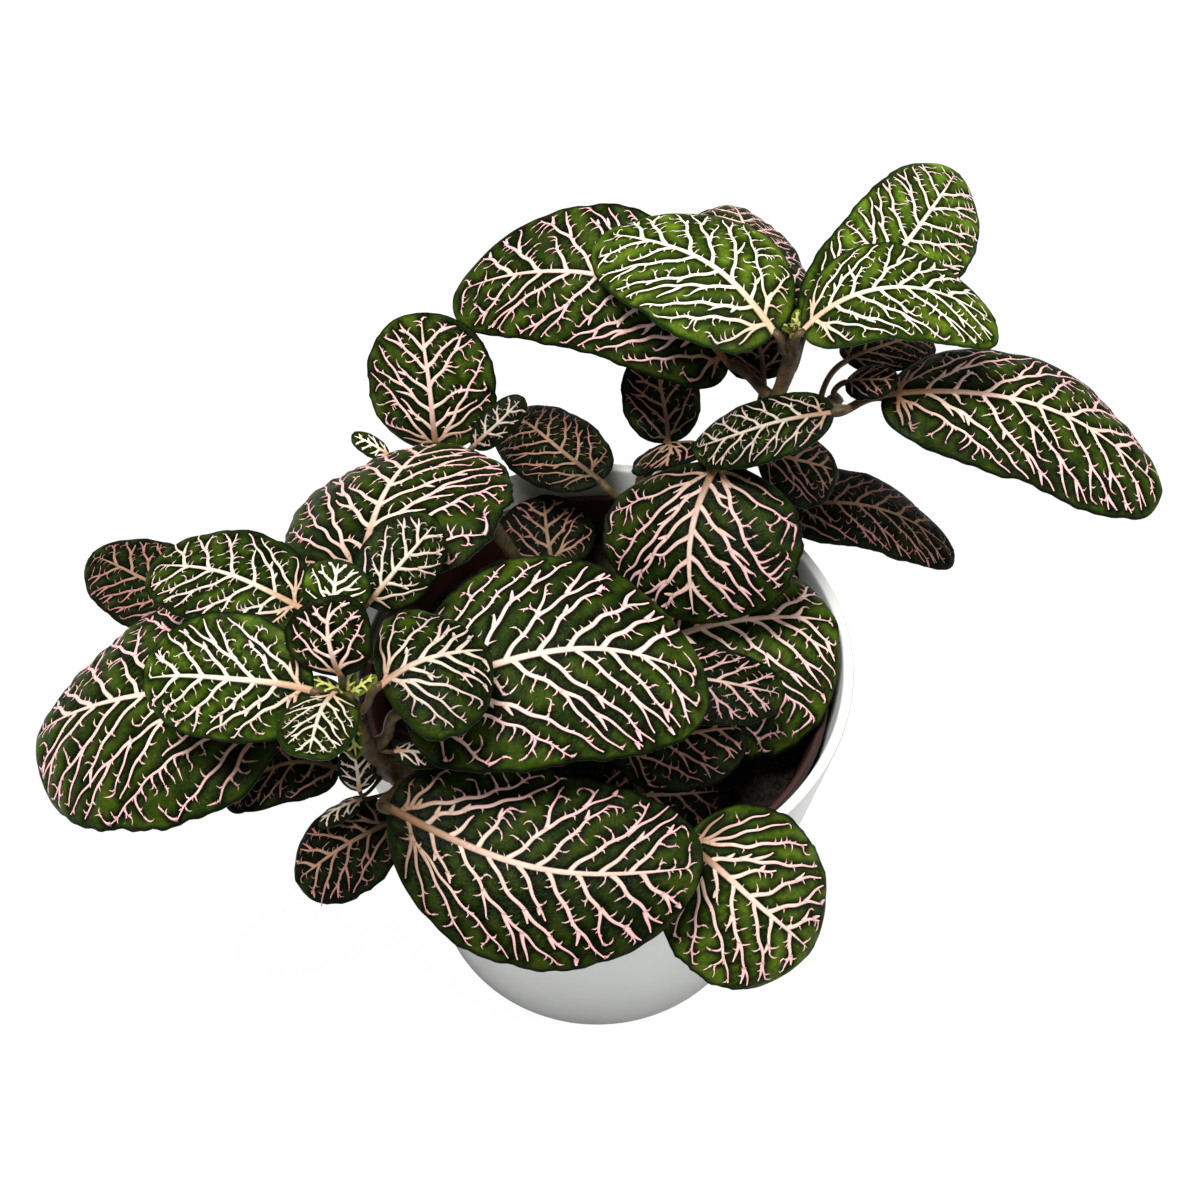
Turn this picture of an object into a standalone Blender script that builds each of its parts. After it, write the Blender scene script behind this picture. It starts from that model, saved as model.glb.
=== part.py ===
"""Potted nerve plant: a cover pot, a nursery pot of soil, seven stems and forty stalked leaves.

Lengths below are in millimetres and angles in degrees. The front of the plant faces -Y.
"""
import math
from collections import namedtuple

import bpy
import numpy as np

MM = 0.001

# Pots and soil
COVER_HEIGHT = 119.5
COVER_BASE_RADIUS = 47.0
COVER_RIM_RADIUS = 65.5
COVER_WALL = 2.7
COVER_FLOOR = 4.0
COVER_EDGE = 3.5
NURSERY_RIM_RADIUS = 60.0
NURSERY_RIM_HEIGHT = 112.4
NURSERY_BASE_RADIUS = 40.0
NURSERY_WALL = 1.2
NURSERY_LIP = 4.4
SOIL_TOP = 100.4
SOIL_FALL = 1.6
SEAT_GAP = 0.3
POT_SIDES = 48

# Stem holes in the soil
HOLE_FLOOR = 93.6
HOLE_CLEARANCE = 0.4
HOLE_SIDES = 16

# Leaves and stems
STEM_SIDES = 8
BLADE_THICKNESS = 0.7
STALK_GAP = 0.4
STALK_STEPS = 5
STALK_PULL = 0.4
RIB_DEPTH = 1.8
LARGE_LEAF = 40.0
BLADE_BELLY = 0.47
BASE_ROUNDNESS = 2.15
TIP_ROUNDNESS = 2.2
LARGE_STEPS = (0.0, 0.04, 0.12, 0.24, 0.38, 0.52, 0.66, 0.79, 0.90, 0.97, 0.995)
SMALL_STEPS = (0.0, 0.06, 0.2, 0.4, 0.6, 0.8, 0.93, 0.99)
ACROSS = np.array((-1.0, -0.5, 0.0, 0.5, 1.0))
RING_ANGLES = tuple(math.radians(a) for a in (162, 126, 90, 54, 18, -18, -54, -90, -126, -162))
RING_SIZE = len(RING_ANGLES)
SMOOTH_LIMIT = math.radians(40)

# Each stem is a row of (x, y, z, radius), from the floor of its hole to its tip
STEMS = {
    "stem_west": ((-18, -12, 94, 2.6), (-18, -12, 103, 2.6), (-22, -18, 115, 2.5), (-48, -48, 140, 2.3),
                  (-51, -53, 160, 2.1), (-53, -54, 174, 1.7), (-53, -54, 181, 1.2)),
    "stem_rear": ((-24, 4, 94, 2.4), (-24, 4, 103, 2.4), (-28, 2, 120, 2.3), (-54, -19, 146, 2.1),
                  (-58, -24, 163, 1.8), (-61, -26, 173, 1.2)),
    "stem_east": ((12, 40, 94, 2.8), (12, 40, 103, 2.8), (20, 40, 125, 2.6), (35, 36, 150, 2.3),
                  (37, 33, 160, 2.1), (41, 35, 168, 1.9), (45, 38, 179, 1.8), (47, 40, 189, 1.6),
                  (47, 40, 193, 1.2), (47, 40, 194.5, 1.7), (47, 40, 196.5, 1.2), (47, 40, 197.5, 0.4)),
    "stem_branch": ((45, 39, 158, 1.8), (51, 41, 162, 1.7), (57, 41, 168, 1.5), (60, 42, 171, 1.2)),
    "stem_north": ((-12, 18, 94, 2.3), (-12, 18, 103, 2.3), (-16, 24, 115, 2.1), (-31, 40, 132, 1.9),
                   (-39, 38, 144, 1.4)),
    "stem_middle": ((4, 26, 94, 2.2), (4, 26, 103, 2.2), (8, 32, 115, 2.0), (12, 52, 128, 1.8),
                    (15, 55, 136, 1.3)),
    "stem_south": ((8, -14, 94, 2.4), (8, -14, 103, 2.4), (6, -18, 110, 2.2), (8, -18, 120, 1.9),
                   (6, -16, 126, 1.3)),
}

# A leaf: where its blade starts, the way it points, its rise, length and width, how it rolls to its
# right, droops along and arches across, how far its rib bows to its right, the stem it grows from,
# the height of that node, the radius of its stalk and how far along the blade it is widest
Leaf = namedtuple("Leaf", "base heading rise length width roll droop arch bow stem node stalk belly",
                  defaults=(BLADE_BELLY,))
LEAVES = {
    "leaf_west_north": Leaf((-54, -52, 185), 95, 52, 18, 19, 1, 20, 22, -2, "stem_west", 178, 0.8),
    "leaf_west_south": Leaf((-55, -56, 185), -97, 19, 23, 17, -1, 22, 22, 1, "stem_west", 177, 0.8),
    "leaf_west_left": Leaf((-60, -54, 182), 169, -9, 40, 29, -39, 20, 17, 2, "stem_west", 174, 1.0),
    "leaf_west_right": Leaf((-46, -53, 183), 24, -4, 26, 37, 3, 49, 34, -1, "stem_west", 174, 1.0, 0.37),
    "leaf_centre": Leaf((-42, -51, 170), 11, -6, 69, 52, 18, 16, 25, -10, "stem_west", 158, 1.4),
    "leaf_front": Leaf((-47, -61, 146), -7, -9, 73, 47, 22, 20, 27, 7, "stem_west", 140, 1.4),
    "leaf_far_left": Leaf((-70, -43, 158), 169, -24, 75, 65, -9, 49, 33, 4, "stem_west", 150, 1.4),
    "leaf_west_shaded": Leaf((-46, -60, 140), -161, -30, 29, 24, -8, 20, 22, 0, "stem_west", 130, 1.1),
    "leaf_west_under": Leaf((-58, -53, 150), 180, -25, 31, 19, -5, 20, 19, 4, "stem_west", 142, 1.1),
    "leaf_rear_left": Leaf((-64, -31, 180), 153, -11, 44, 27, -5, 21, 8, 2, "stem_rear", 169, 1.0),
    "leaf_rear_small": Leaf((-58, -33, 182), 78, 42, 12, 16, 2, 18, 18, 0, "stem_rear", 171, 0.8),
    "leaf_rear_curled": Leaf((-51, -29, 180), 49, 19, 25, 19, 40, 30, 30, 0, "stem_rear", 166, 0.9),
    "leaf_rear_wide": Leaf((-55, -19, 172), 73, -9, 58, 60, -18, 60, 29, 0, "stem_rear", 156, 1.3),
    "leaf_rear_outer": Leaf((-88, -7, 142), 146, -9, 51, 26, -10, 25, 20, 0, "stem_rear", 136, 1.0),
    "leaf_crown_left": Leaf((42, 37, 198), 135, -6, 58, 39, -8, 28, 28, 5, "stem_east", 190, 1.0),
    "leaf_crown_right": Leaf((48, 36, 199), 13, -10, 51, 31, 7, 33, 12, -10, "stem_east", 190, 1.0, 0.62),
    "leaf_crown_back": Leaf((46, 49, 192), 101, -13, 56, 31, 18, 41, 28, -4, "stem_east", 186, 1.0),
    "leaf_crown_far": Leaf((51, 45, 193), 56, -5, 77, 33, 19, 29, 23, 4, "stem_east", 182, 1.0, 0.58),
    "leaf_crown_low": Leaf((33, 48, 176), 156, -5, 78, 40, -34, 32, 23, 13, "stem_east", 175, 1.4),
    "leaf_branch_right": Leaf((70, 41, 172), -9, -17, 78, 45, 2, 37, 30, -8, "stem_branch", 168, 1.2, 0.57),
    "leaf_branch_left": Leaf((56, 24, 185), 169, -32, 39, 19, -15, 21, 23, 0, "stem_branch", 169.5, 1.0),
    "leaf_branch_small": Leaf((61, 43, 175), -21, 22, 14, 11, 12, 31, 26, 0, "stem_branch", 170.5, 0.8),
    "leaf_branch_under": Leaf((63, 57, 168), 36, -18, 32, 18, 0, 30, 20, 0, "stem_branch", 166, 0.8),
    "leaf_east_middle": Leaf((30, 29, 162), -100, -36, 43, 55, 15, 65, 30, 2, "stem_east", 158, 1.4),
    "leaf_east_shaded": Leaf((40, 38, 156), 2, -24, 24, 26, 7, 30, 25, 1, "stem_east", 154, 1.0),
    "leaf_east_low": Leaf((44, 35, 134), 6, -24, 59, 28, 2, 29, 18, -7, "stem_east", 130, 1.2, 0.55),
    "leaf_east_under": Leaf((23, 18, 120), 28, -5, 33, 30, 0, 20, 20, 0, "stem_east", 110, 1.0),
    "leaf_crown_stub": Leaf((41, 45, 174), 97, -5, 30, 21, -4, 29, 21, 1, "stem_east", 168, 0.9),
    "leaf_north_upright": Leaf((-41, 46, 146), 99, 59, 37, 35, -18, 20, 20, 0, "stem_north", 142, 1.1),
    "leaf_north_right": Leaf((1, 46, 134), 127, -13, 44, 26, -8, 36, 25, -1, "stem_middle", 124, 1.1),
    "leaf_north_small": Leaf((-52, 35, 157), 172, 34, 11, 7, -2, 20, 20, 0, "stem_north", 136, 0.8),
    "leaf_north_folded": Leaf((-31, 35, 160), 35, 28, 18, 9, 30, 15, 20, 0, "stem_north", 140, 0.8),
    "leaf_north_low": Leaf((-12, 33, 113), 98, 17, 22, 27, 1, 8, 20, 0, "stem_north", 106, 1.0),
    "leaf_middle_upright": Leaf((19, 56, 138), 101, 37, 26, 22, 2, 20, 21, 0, "stem_middle", 134, 0.9),
    "leaf_middle_small": Leaf((18, 50, 145), -103, 5, 11, 26, 29, 36, 21, -3, "stem_middle", 131, 0.9),
    "leaf_south_right": Leaf((11, -4, 125), 11, 0, 52, 73, 6, 32, 44, -4, "stem_south", 119, 1.3),
    "leaf_south_middle": Leaf((5, -18, 138), -7, -3, 41, 23, 5, 19, 22, 0, "stem_south", 124, 0.9),
    "leaf_south_dark": Leaf((3, -34, 129), 14, -6, 35, 28, 15, 24, 17, 0, "stem_south", 112, 1.0),
    "leaf_south_front": Leaf((20, -58, 126), -27, -36, 44, 45, 18, 39, 22, 0, "stem_south", 115, 1.2),
    "leaf_south_low": Leaf((-2, -39, 112), 14, -14, 36, 26, 14, 24, 26, 0, "stem_south", 106, 1.0),
}
YOUNG = ("leaf_branch_left", "leaf_branch_small", "leaf_crown_far", "leaf_crown_left",
         "leaf_crown_right", "leaf_middle_small", "leaf_north_folded", "leaf_north_small",
         "leaf_rear_curled", "leaf_rear_left", "leaf_rear_small", "leaf_west_left",
         "leaf_west_right", "leaf_west_south")

# Colours, roughness
FINISHES = {
    "cover_pot": ((0.74, 0.74, 0.75), 0.55),
    "nursery_pot": ((0.07, 0.025, 0.02), 0.5),
    "soil": ((0.012, 0.01, 0.008), 0.95),
    "stem": ((0.11, 0.08, 0.035), 0.55),
    "leaf": ((0.025, 0.065, 0.018), 0.42),
    "young_leaf": ((0.06, 0.14, 0.035), 0.42),
}


def clear_scene():
    for ob in list(bpy.data.objects):
        bpy.data.objects.remove(ob, do_unlink=True)


def finish(name, kind):
    colour, roughness = FINISHES[kind]
    material = bpy.data.materials.new(name + "_finish")
    material.use_nodes = True
    shader = material.node_tree.nodes["Principled BSDF"]
    shader.inputs["Base Color"].default_value = (*colour, 1.0)
    shader.inputs["Roughness"].default_value = roughness
    shader.inputs["Metallic"].default_value = 0.0
    return material


def add_solid(name, kind, points, faces):
    mesh = bpy.data.meshes.new(name)
    mesh.from_pydata([tuple(float(c) * MM for c in p) for p in points], [], faces)
    mesh.validate()
    mesh.shade_smooth()
    mesh.set_sharp_from_angle(angle=SMOOTH_LIMIT)
    solid = bpy.data.objects.new(name, mesh)
    bpy.context.scene.collection.objects.link(solid)
    mesh.materials.append(finish(name, kind))
    return solid


def lathe(profile, sides):
    """Turn a profile of (radius, height) that starts and ends on the axis; it runs outwards first."""
    points = [(0.0, 0.0, profile[0][1])]
    for radius, height in profile[1:-1]:
        for k in range(sides):
            angle = 2 * math.pi * k / sides
            points.append((radius * math.cos(angle), radius * math.sin(angle), height))
    points.append((0.0, 0.0, profile[-1][1]))
    end = len(points) - 1
    rings = len(profile) - 2
    faces = []
    for k in range(sides):
        after = (k + 1) % sides
        faces.append((0, 1 + after, 1 + k))
        for ring in range(rings - 1):
            low = 1 + ring * sides
            high = low + sides
            faces.append((low + k, low + after, high + after, high + k))
        top = 1 + (rings - 1) * sides
        faces.append((top + k, top + after, end))
    return points, faces


def cover_inner_radius(height):
    """Inner radius of the cover pot at a height above the table."""
    lean = (COVER_RIM_RADIUS - COVER_BASE_RADIUS) / COVER_HEIGHT
    return COVER_BASE_RADIUS - COVER_WALL + lean * height


def add_cover_pot():
    inner_floor = cover_inner_radius(COVER_FLOOR)
    inner_rim = cover_inner_radius(COVER_HEIGHT)
    outer_edge = COVER_BASE_RADIUS + (COVER_RIM_RADIUS - COVER_BASE_RADIUS) * COVER_EDGE / COVER_HEIGHT
    profile = (
        (0.0, 0.0),
        (COVER_BASE_RADIUS - COVER_EDGE, 0.0),
        (COVER_BASE_RADIUS - 0.9, 0.9),
        (outer_edge, COVER_EDGE),
        (COVER_RIM_RADIUS - 0.1, COVER_HEIGHT - 0.9),
        (COVER_RIM_RADIUS - 0.7, COVER_HEIGHT),
        (inner_rim + 0.6, COVER_HEIGHT),
        (inner_rim, COVER_HEIGHT - 0.8),
        (inner_floor, COVER_FLOOR + 1.5),
        (inner_floor - 1.5, COVER_FLOOR),
        (0.0, COVER_FLOOR),
    )
    add_solid("cover_pot", "cover_pot", *lathe(profile, POT_SIDES))


def nursery_radius(height):
    """Outer radius of the nursery pot's wall at a height above the table."""
    floor = COVER_FLOOR + SEAT_GAP
    top = NURSERY_RIM_HEIGHT - NURSERY_LIP
    wall_top = NURSERY_RIM_RADIUS - 1.6
    return NURSERY_BASE_RADIUS + (wall_top - NURSERY_BASE_RADIUS) * (height - floor) / (top - floor)


def add_nursery_pot():
    floor = COVER_FLOOR + SEAT_GAP
    top = NURSERY_RIM_HEIGHT - NURSERY_LIP
    inside = floor + 1.5
    profile = (
        (0.0, floor),
        (NURSERY_BASE_RADIUS - 1.0, floor),
        (nursery_radius(floor + 1.0), floor + 1.0),
        (nursery_radius(top - 1.0), top - 1.0),
        (NURSERY_RIM_RADIUS, top),
        (NURSERY_RIM_RADIUS, NURSERY_RIM_HEIGHT - 0.4),
        (NURSERY_RIM_RADIUS - 0.4, NURSERY_RIM_HEIGHT),
        (NURSERY_RIM_RADIUS - 1.6, NURSERY_RIM_HEIGHT - 0.2),
        (nursery_radius(top) - NURSERY_WALL, top),
        (nursery_radius(inside) - NURSERY_WALL, inside),
        (0.0, inside),
    )
    add_solid("nursery_pot", "nursery_pot", *lathe(profile, POT_SIDES))


def add_soil():
    """The ball of soil, domed on top, with a plain blind hole for each stem that stands in it."""
    low = COVER_FLOOR + SEAT_GAP + 1.5 + SEAT_GAP
    edge = SOIL_TOP - SOIL_FALL
    shrink = NURSERY_WALL + SEAT_GAP
    profile = (
        (0.0, low),
        (nursery_radius(low) - shrink, low),
        (nursery_radius(edge) - shrink, edge),
        (42.0, SOIL_TOP - 0.7),
        (0.0, SOIL_TOP),
    )
    soil = add_solid("soil", "soil", *lathe(profile, POT_SIDES))
    points = []
    faces = []
    for rows in STEMS.values():
        x, y, z, radius = rows[0]
        if z > SOIL_TOP:
            continue
        first = len(points)
        for height in (HOLE_FLOOR, SOIL_TOP + 5.0):
            for k in range(HOLE_SIDES):
                angle = 2 * math.pi * k / HOLE_SIDES
                reach = radius + HOLE_CLEARANCE
                points.append((x + reach * math.cos(angle), y + reach * math.sin(angle), height))
        ring = [first + k for k in range(HOLE_SIDES)]
        faces.append(tuple(reversed(ring)))
        faces.append(tuple(k + HOLE_SIDES for k in ring))
        for k in range(HOLE_SIDES):
            a = first + k
            b = first + (k + 1) % HOLE_SIDES
            faces.append((a, b, b + HOLE_SIDES, a + HOLE_SIDES))
    cutter = add_solid("stem_holes", "soil", points, faces)
    cutter.hide_render = True
    cutter.display_type = "WIRE"
    cut = soil.modifiers.new("holes", "BOOLEAN")
    cut.operation = "DIFFERENCE"
    cut.solver = "EXACT"
    cut.object = cutter
    depsgraph = bpy.context.evaluated_depsgraph_get()
    carved = bpy.data.meshes.new_from_object(soil.evaluated_get(depsgraph))
    soil.modifiers.clear()
    soil.data = carved
    bpy.data.objects.remove(cutter, do_unlink=True)


def unit(vector):
    return vector / np.linalg.norm(vector)


def add_stem(name, rows):
    """A closed tube whose rings follow the stem from its foot to its tip."""
    centres = [np.array(row[:3], float) for row in rows]
    away = np.array((0.0, 1.0, 0.0))
    points = []
    for k, centre in enumerate(centres):
        onwards = unit(centres[min(k + 1, len(rows) - 1)] - centres[max(k - 1, 0)])
        side = unit(np.cross(away, onwards))
        up = np.cross(onwards, side)
        for j in range(STEM_SIDES):
            angle = 2 * math.pi * j / STEM_SIDES
            points.append(centre + rows[k][3] * (side * math.cos(angle) + up * math.sin(angle)))
    faces = []
    for k in range(len(rows) - 1):
        for j in range(STEM_SIDES):
            a = k * STEM_SIDES + j
            b = k * STEM_SIDES + (j + 1) % STEM_SIDES
            faces.append((a, b, b + STEM_SIDES, a + STEM_SIDES))
    last = (len(rows) - 1) * STEM_SIDES
    faces.append(tuple(reversed(range(STEM_SIDES))))
    faces.append(tuple(range(last, last + STEM_SIDES)))
    add_solid(name, "stem", points, faces)


def blade_axes(leaf):
    """Unit vectors along the blade's chord, to its right and up from its face."""
    heading = math.radians(leaf.heading)
    rise = math.radians(leaf.rise)
    roll = math.radians(leaf.roll)
    level_reach = math.cos(rise)
    along = np.array((math.cos(heading) * level_reach, math.sin(heading) * level_reach, math.sin(rise)))
    level = np.array((math.sin(heading), -math.cos(heading), 0.0))
    normal = np.cross(level, along)
    side = level * math.cos(roll) - normal * math.sin(roll)
    return along, side, normal * math.cos(roll) + level * math.sin(roll)


def half_width(leaf, t):
    """Half of the blade's width at t, from 0 at the stalk to 1 at the tip."""
    if t < leaf.belly:
        reach = (leaf.belly - t) / leaf.belly
        power = BASE_ROUNDNESS
    else:
        reach = (t - leaf.belly) / (1 - leaf.belly)
        power = TIP_ROUNDNESS
    return 0.5 * leaf.width * max(1 - reach ** power, 0.0) ** (1 / power)


def blade_point(leaf, t, v, lift=0.0):
    """A point on the blade's middle surface; v runs from -1 to 1 across it, lift is above it."""
    along, side, normal = blade_axes(leaf)
    droop = math.radians(leaf.droop)
    arch = math.radians(leaf.arch)
    tilt = droop / 2 - droop * t
    forward = leaf.length * (math.sin(droop / 2) - math.sin(tilt)) / droop
    height = leaf.length * (math.cos(tilt) - math.cos(droop / 2)) / droop
    width = half_width(leaf, t)
    across = leaf.bow * 4 * t * (1 - t) + width * math.sin(arch * v) / arch
    up = lift - width * (1 - math.cos(arch * v)) / arch
    forward -= up * math.sin(tilt)
    height += up * math.cos(tilt)
    return np.array(leaf.base, float) + forward * along + across * side + height * normal


def stem_at(rows, height):
    """Centre, radius and direction of a stem at a height."""
    for low, high in zip(rows, rows[1:]):
        if height <= high[2] or high is rows[-1]:
            share = min(max((height - low[2]) / (high[2] - low[2]), 0.0), 1.0)
            a = np.array(low, float)
            b = np.array(high, float)
            spot = a + (b - a) * share
            return spot[:3], spot[3], unit((b - a)[:3])
    return None


def stalk_rings(leaf):
    """Rings of the stalk, which leaves its stem square and meets the blade in line.

    They are made from the blade back to the stem, so that each ring turns as little as it can.
    """
    spot, radius, axis = stem_at(STEMS[leaf.stem], leaf.node)
    base = np.array(leaf.base, float)
    outwards = base - spot
    outwards = unit(outwards - axis * outwards.dot(axis))
    start = spot + outwards * (radius + STALK_GAP)
    along, side, normal = blade_axes(leaf)
    climb = math.radians(leaf.droop) / 2
    arrive = along * math.cos(climb) + normal * math.sin(climb)
    pull = np.linalg.norm(base - start) * STALK_PULL
    near = start + outwards * pull
    far = base - arrive * pull
    rings = []
    right = side
    for k in reversed(range(STALK_STEPS)):
        u = k / STALK_STEPS
        w = 1 - u
        point = w ** 3 * start + 3 * u * w * w * near + 3 * u * u * w * far + u ** 3 * base
        onwards = unit(3 * w * w * (near - start) + 6 * u * w * (far - near) + 3 * u * u * (base - far))
        right = unit(right - onwards * right.dot(onwards))
        up = np.cross(right, onwards)
        ring = [point + leaf.stalk * (right * math.cos(a) + up * math.sin(a)) for a in RING_ANGLES]
        rings.insert(0, ring)
    return rings


def blade_ring(leaf, t):
    """Five points on the blade's upper face and five below it, thicker under the rib."""
    upper = []
    lower = []
    for v in ACROSS:
        middle = blade_point(leaf, t, v)
        up = unit(blade_point(leaf, t, v, 1.0) - middle)
        rib = (RIB_DEPTH * leaf.stalk - BLADE_THICKNESS) * (1 - t) ** 2 * (1 - min(abs(v) * 2, 1.0))
        upper.append(middle + up * BLADE_THICKNESS / 2)
        lower.append(middle - up * (BLADE_THICKNESS / 2 + max(rib, 0.0)))
    return upper + lower[::-1]


def blade_start(leaf):
    """The round ring where the stalk turns into the blade."""
    _, side, _ = blade_axes(leaf)
    base = blade_point(leaf, 0.0, 0.0)
    up = unit(blade_point(leaf, 0.0, 0.0, 1.0) - base)
    return [base + leaf.stalk * (side * math.cos(a) + up * math.sin(a)) for a in RING_ANGLES]


def add_leaf(name, leaf):
    """A stalk and its blade in one closed body, both faces split into triangles the same way."""
    steps = LARGE_STEPS if leaf.length > LARGE_LEAF else SMALL_STEPS
    rings = stalk_rings(leaf)
    rings.append(blade_start(leaf))
    rings.extend(blade_ring(leaf, t) for t in steps[1:])
    points = [point for ring in rings for point in ring]
    half = RING_SIZE // 2
    faces = []
    for k in range(len(rings) - 1):
        for j in range(RING_SIZE):
            a = k * RING_SIZE + j
            b = k * RING_SIZE + (j + 1) % RING_SIZE
            c = a + RING_SIZE
            d = b + RING_SIZE
            if j < half:
                faces.extend(((a, d, c), (a, b, d)))
            else:
                faces.extend(((a, b, c), (b, d, c)))
    last = (len(rings) - 1) * RING_SIZE
    for j in range(half - 1):
        a, b, c, d = j, j + 1, RING_SIZE - 2 - j, RING_SIZE - 1 - j
        faces.extend(((a, c, b), (a, d, c)))
        faces.extend(((last + a, last + b, last + c), (last + a, last + c, last + d)))
    add_solid(name, "young_leaf" if name in YOUNG else "leaf", points, faces)


def main():
    clear_scene()
    add_cover_pot()
    add_nursery_pot()
    add_soil()
    for name, rows in STEMS.items():
        add_stem(name, rows)
    for name, leaf in LEAVES.items():
        add_leaf(name, leaf)


main()
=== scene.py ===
# %% [markdown]
# # A potted nerve plant
# The plant has dark leaves with a net of pink veins, on leaning stems, in a nursery pot of soil
# inside a plain white cover pot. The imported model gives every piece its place. This lesson dresses
# it: each plain solid is replaced by a finer piece of the same form.

# %% Load the frame
import math
from collections import namedtuple

import bpy
import numpy as np
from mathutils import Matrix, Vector


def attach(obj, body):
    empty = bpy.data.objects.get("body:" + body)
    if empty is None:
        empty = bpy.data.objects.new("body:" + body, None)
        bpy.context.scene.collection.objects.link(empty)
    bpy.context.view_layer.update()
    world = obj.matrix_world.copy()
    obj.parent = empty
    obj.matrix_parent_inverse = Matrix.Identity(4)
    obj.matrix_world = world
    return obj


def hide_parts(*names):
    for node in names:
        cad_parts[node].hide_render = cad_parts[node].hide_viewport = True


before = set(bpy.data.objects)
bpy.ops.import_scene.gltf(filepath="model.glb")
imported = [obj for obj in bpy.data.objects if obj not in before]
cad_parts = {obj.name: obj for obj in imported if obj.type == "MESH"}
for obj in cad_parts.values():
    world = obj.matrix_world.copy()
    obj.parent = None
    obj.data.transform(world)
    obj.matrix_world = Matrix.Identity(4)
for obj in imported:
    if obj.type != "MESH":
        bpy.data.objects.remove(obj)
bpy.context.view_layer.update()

MM = 0.001

# %% [markdown]
# ## The plan of the plant
# A leaf is set by the point where its blade starts, the way it points, its rise, length and width,
# its roll, its droop along the rib, its arch across and the bow of its rib. The same numbers made the
# solids, so a finer blade made from them lies exactly where the solid lies. Lengths are in
# millimetres and angles in degrees.

# %% Stems
# Points of each stem: x, y, z and radius
STEMS = {
    "stem_west": ((-18, -12, 94, 2.6), (-18, -12, 103, 2.6), (-22, -18, 115, 2.5), (-48, -48, 140, 2.3),
                  (-51, -53, 160, 2.1), (-53, -54, 174, 1.7), (-53, -54, 181, 1.2)),
    "stem_rear": ((-24, 4, 94, 2.4), (-24, 4, 103, 2.4), (-28, 2, 120, 2.3), (-54, -19, 146, 2.1),
                  (-58, -24, 163, 1.8), (-61, -26, 173, 1.2)),
    "stem_east": ((12, 40, 94, 2.8), (12, 40, 103, 2.8), (20, 40, 125, 2.6), (35, 36, 150, 2.3),
                  (37, 33, 160, 2.1), (41, 35, 168, 1.9), (45, 38, 179, 1.8), (47, 40, 189, 1.6),
                  (47, 40, 193, 1.2), (47, 40, 194.5, 1.7), (47, 40, 196.5, 1.2), (47, 40, 197.5, 0.4)),
    "stem_branch": ((45, 39, 158, 1.8), (51, 41, 162, 1.7), (57, 41, 168, 1.5), (60, 42, 171, 1.2)),
    "stem_north": ((-12, 18, 94, 2.3), (-12, 18, 103, 2.3), (-16, 24, 115, 2.1), (-31, 40, 132, 1.9),
                   (-39, 38, 144, 1.4)),
    "stem_middle": ((4, 26, 94, 2.2), (4, 26, 103, 2.2), (8, 32, 115, 2.0), (12, 52, 128, 1.8),
                    (15, 55, 136, 1.3)),
    "stem_south": ((8, -14, 94, 2.4), (8, -14, 103, 2.4), (6, -18, 110, 2.2), (8, -18, 120, 1.9),
                   (6, -16, 126, 1.3)),
}
print("stems", len(STEMS), "points", sum(len(rows) for rows in STEMS.values()))

# %% [markdown]
# Each leaf is one row of the plan: base, heading, rise, length, width, roll, droop, arch and bow, then
# its stem, the height of its node and the radius of its stalk. The rows were measured in the photo
# with one fitted camera.

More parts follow.
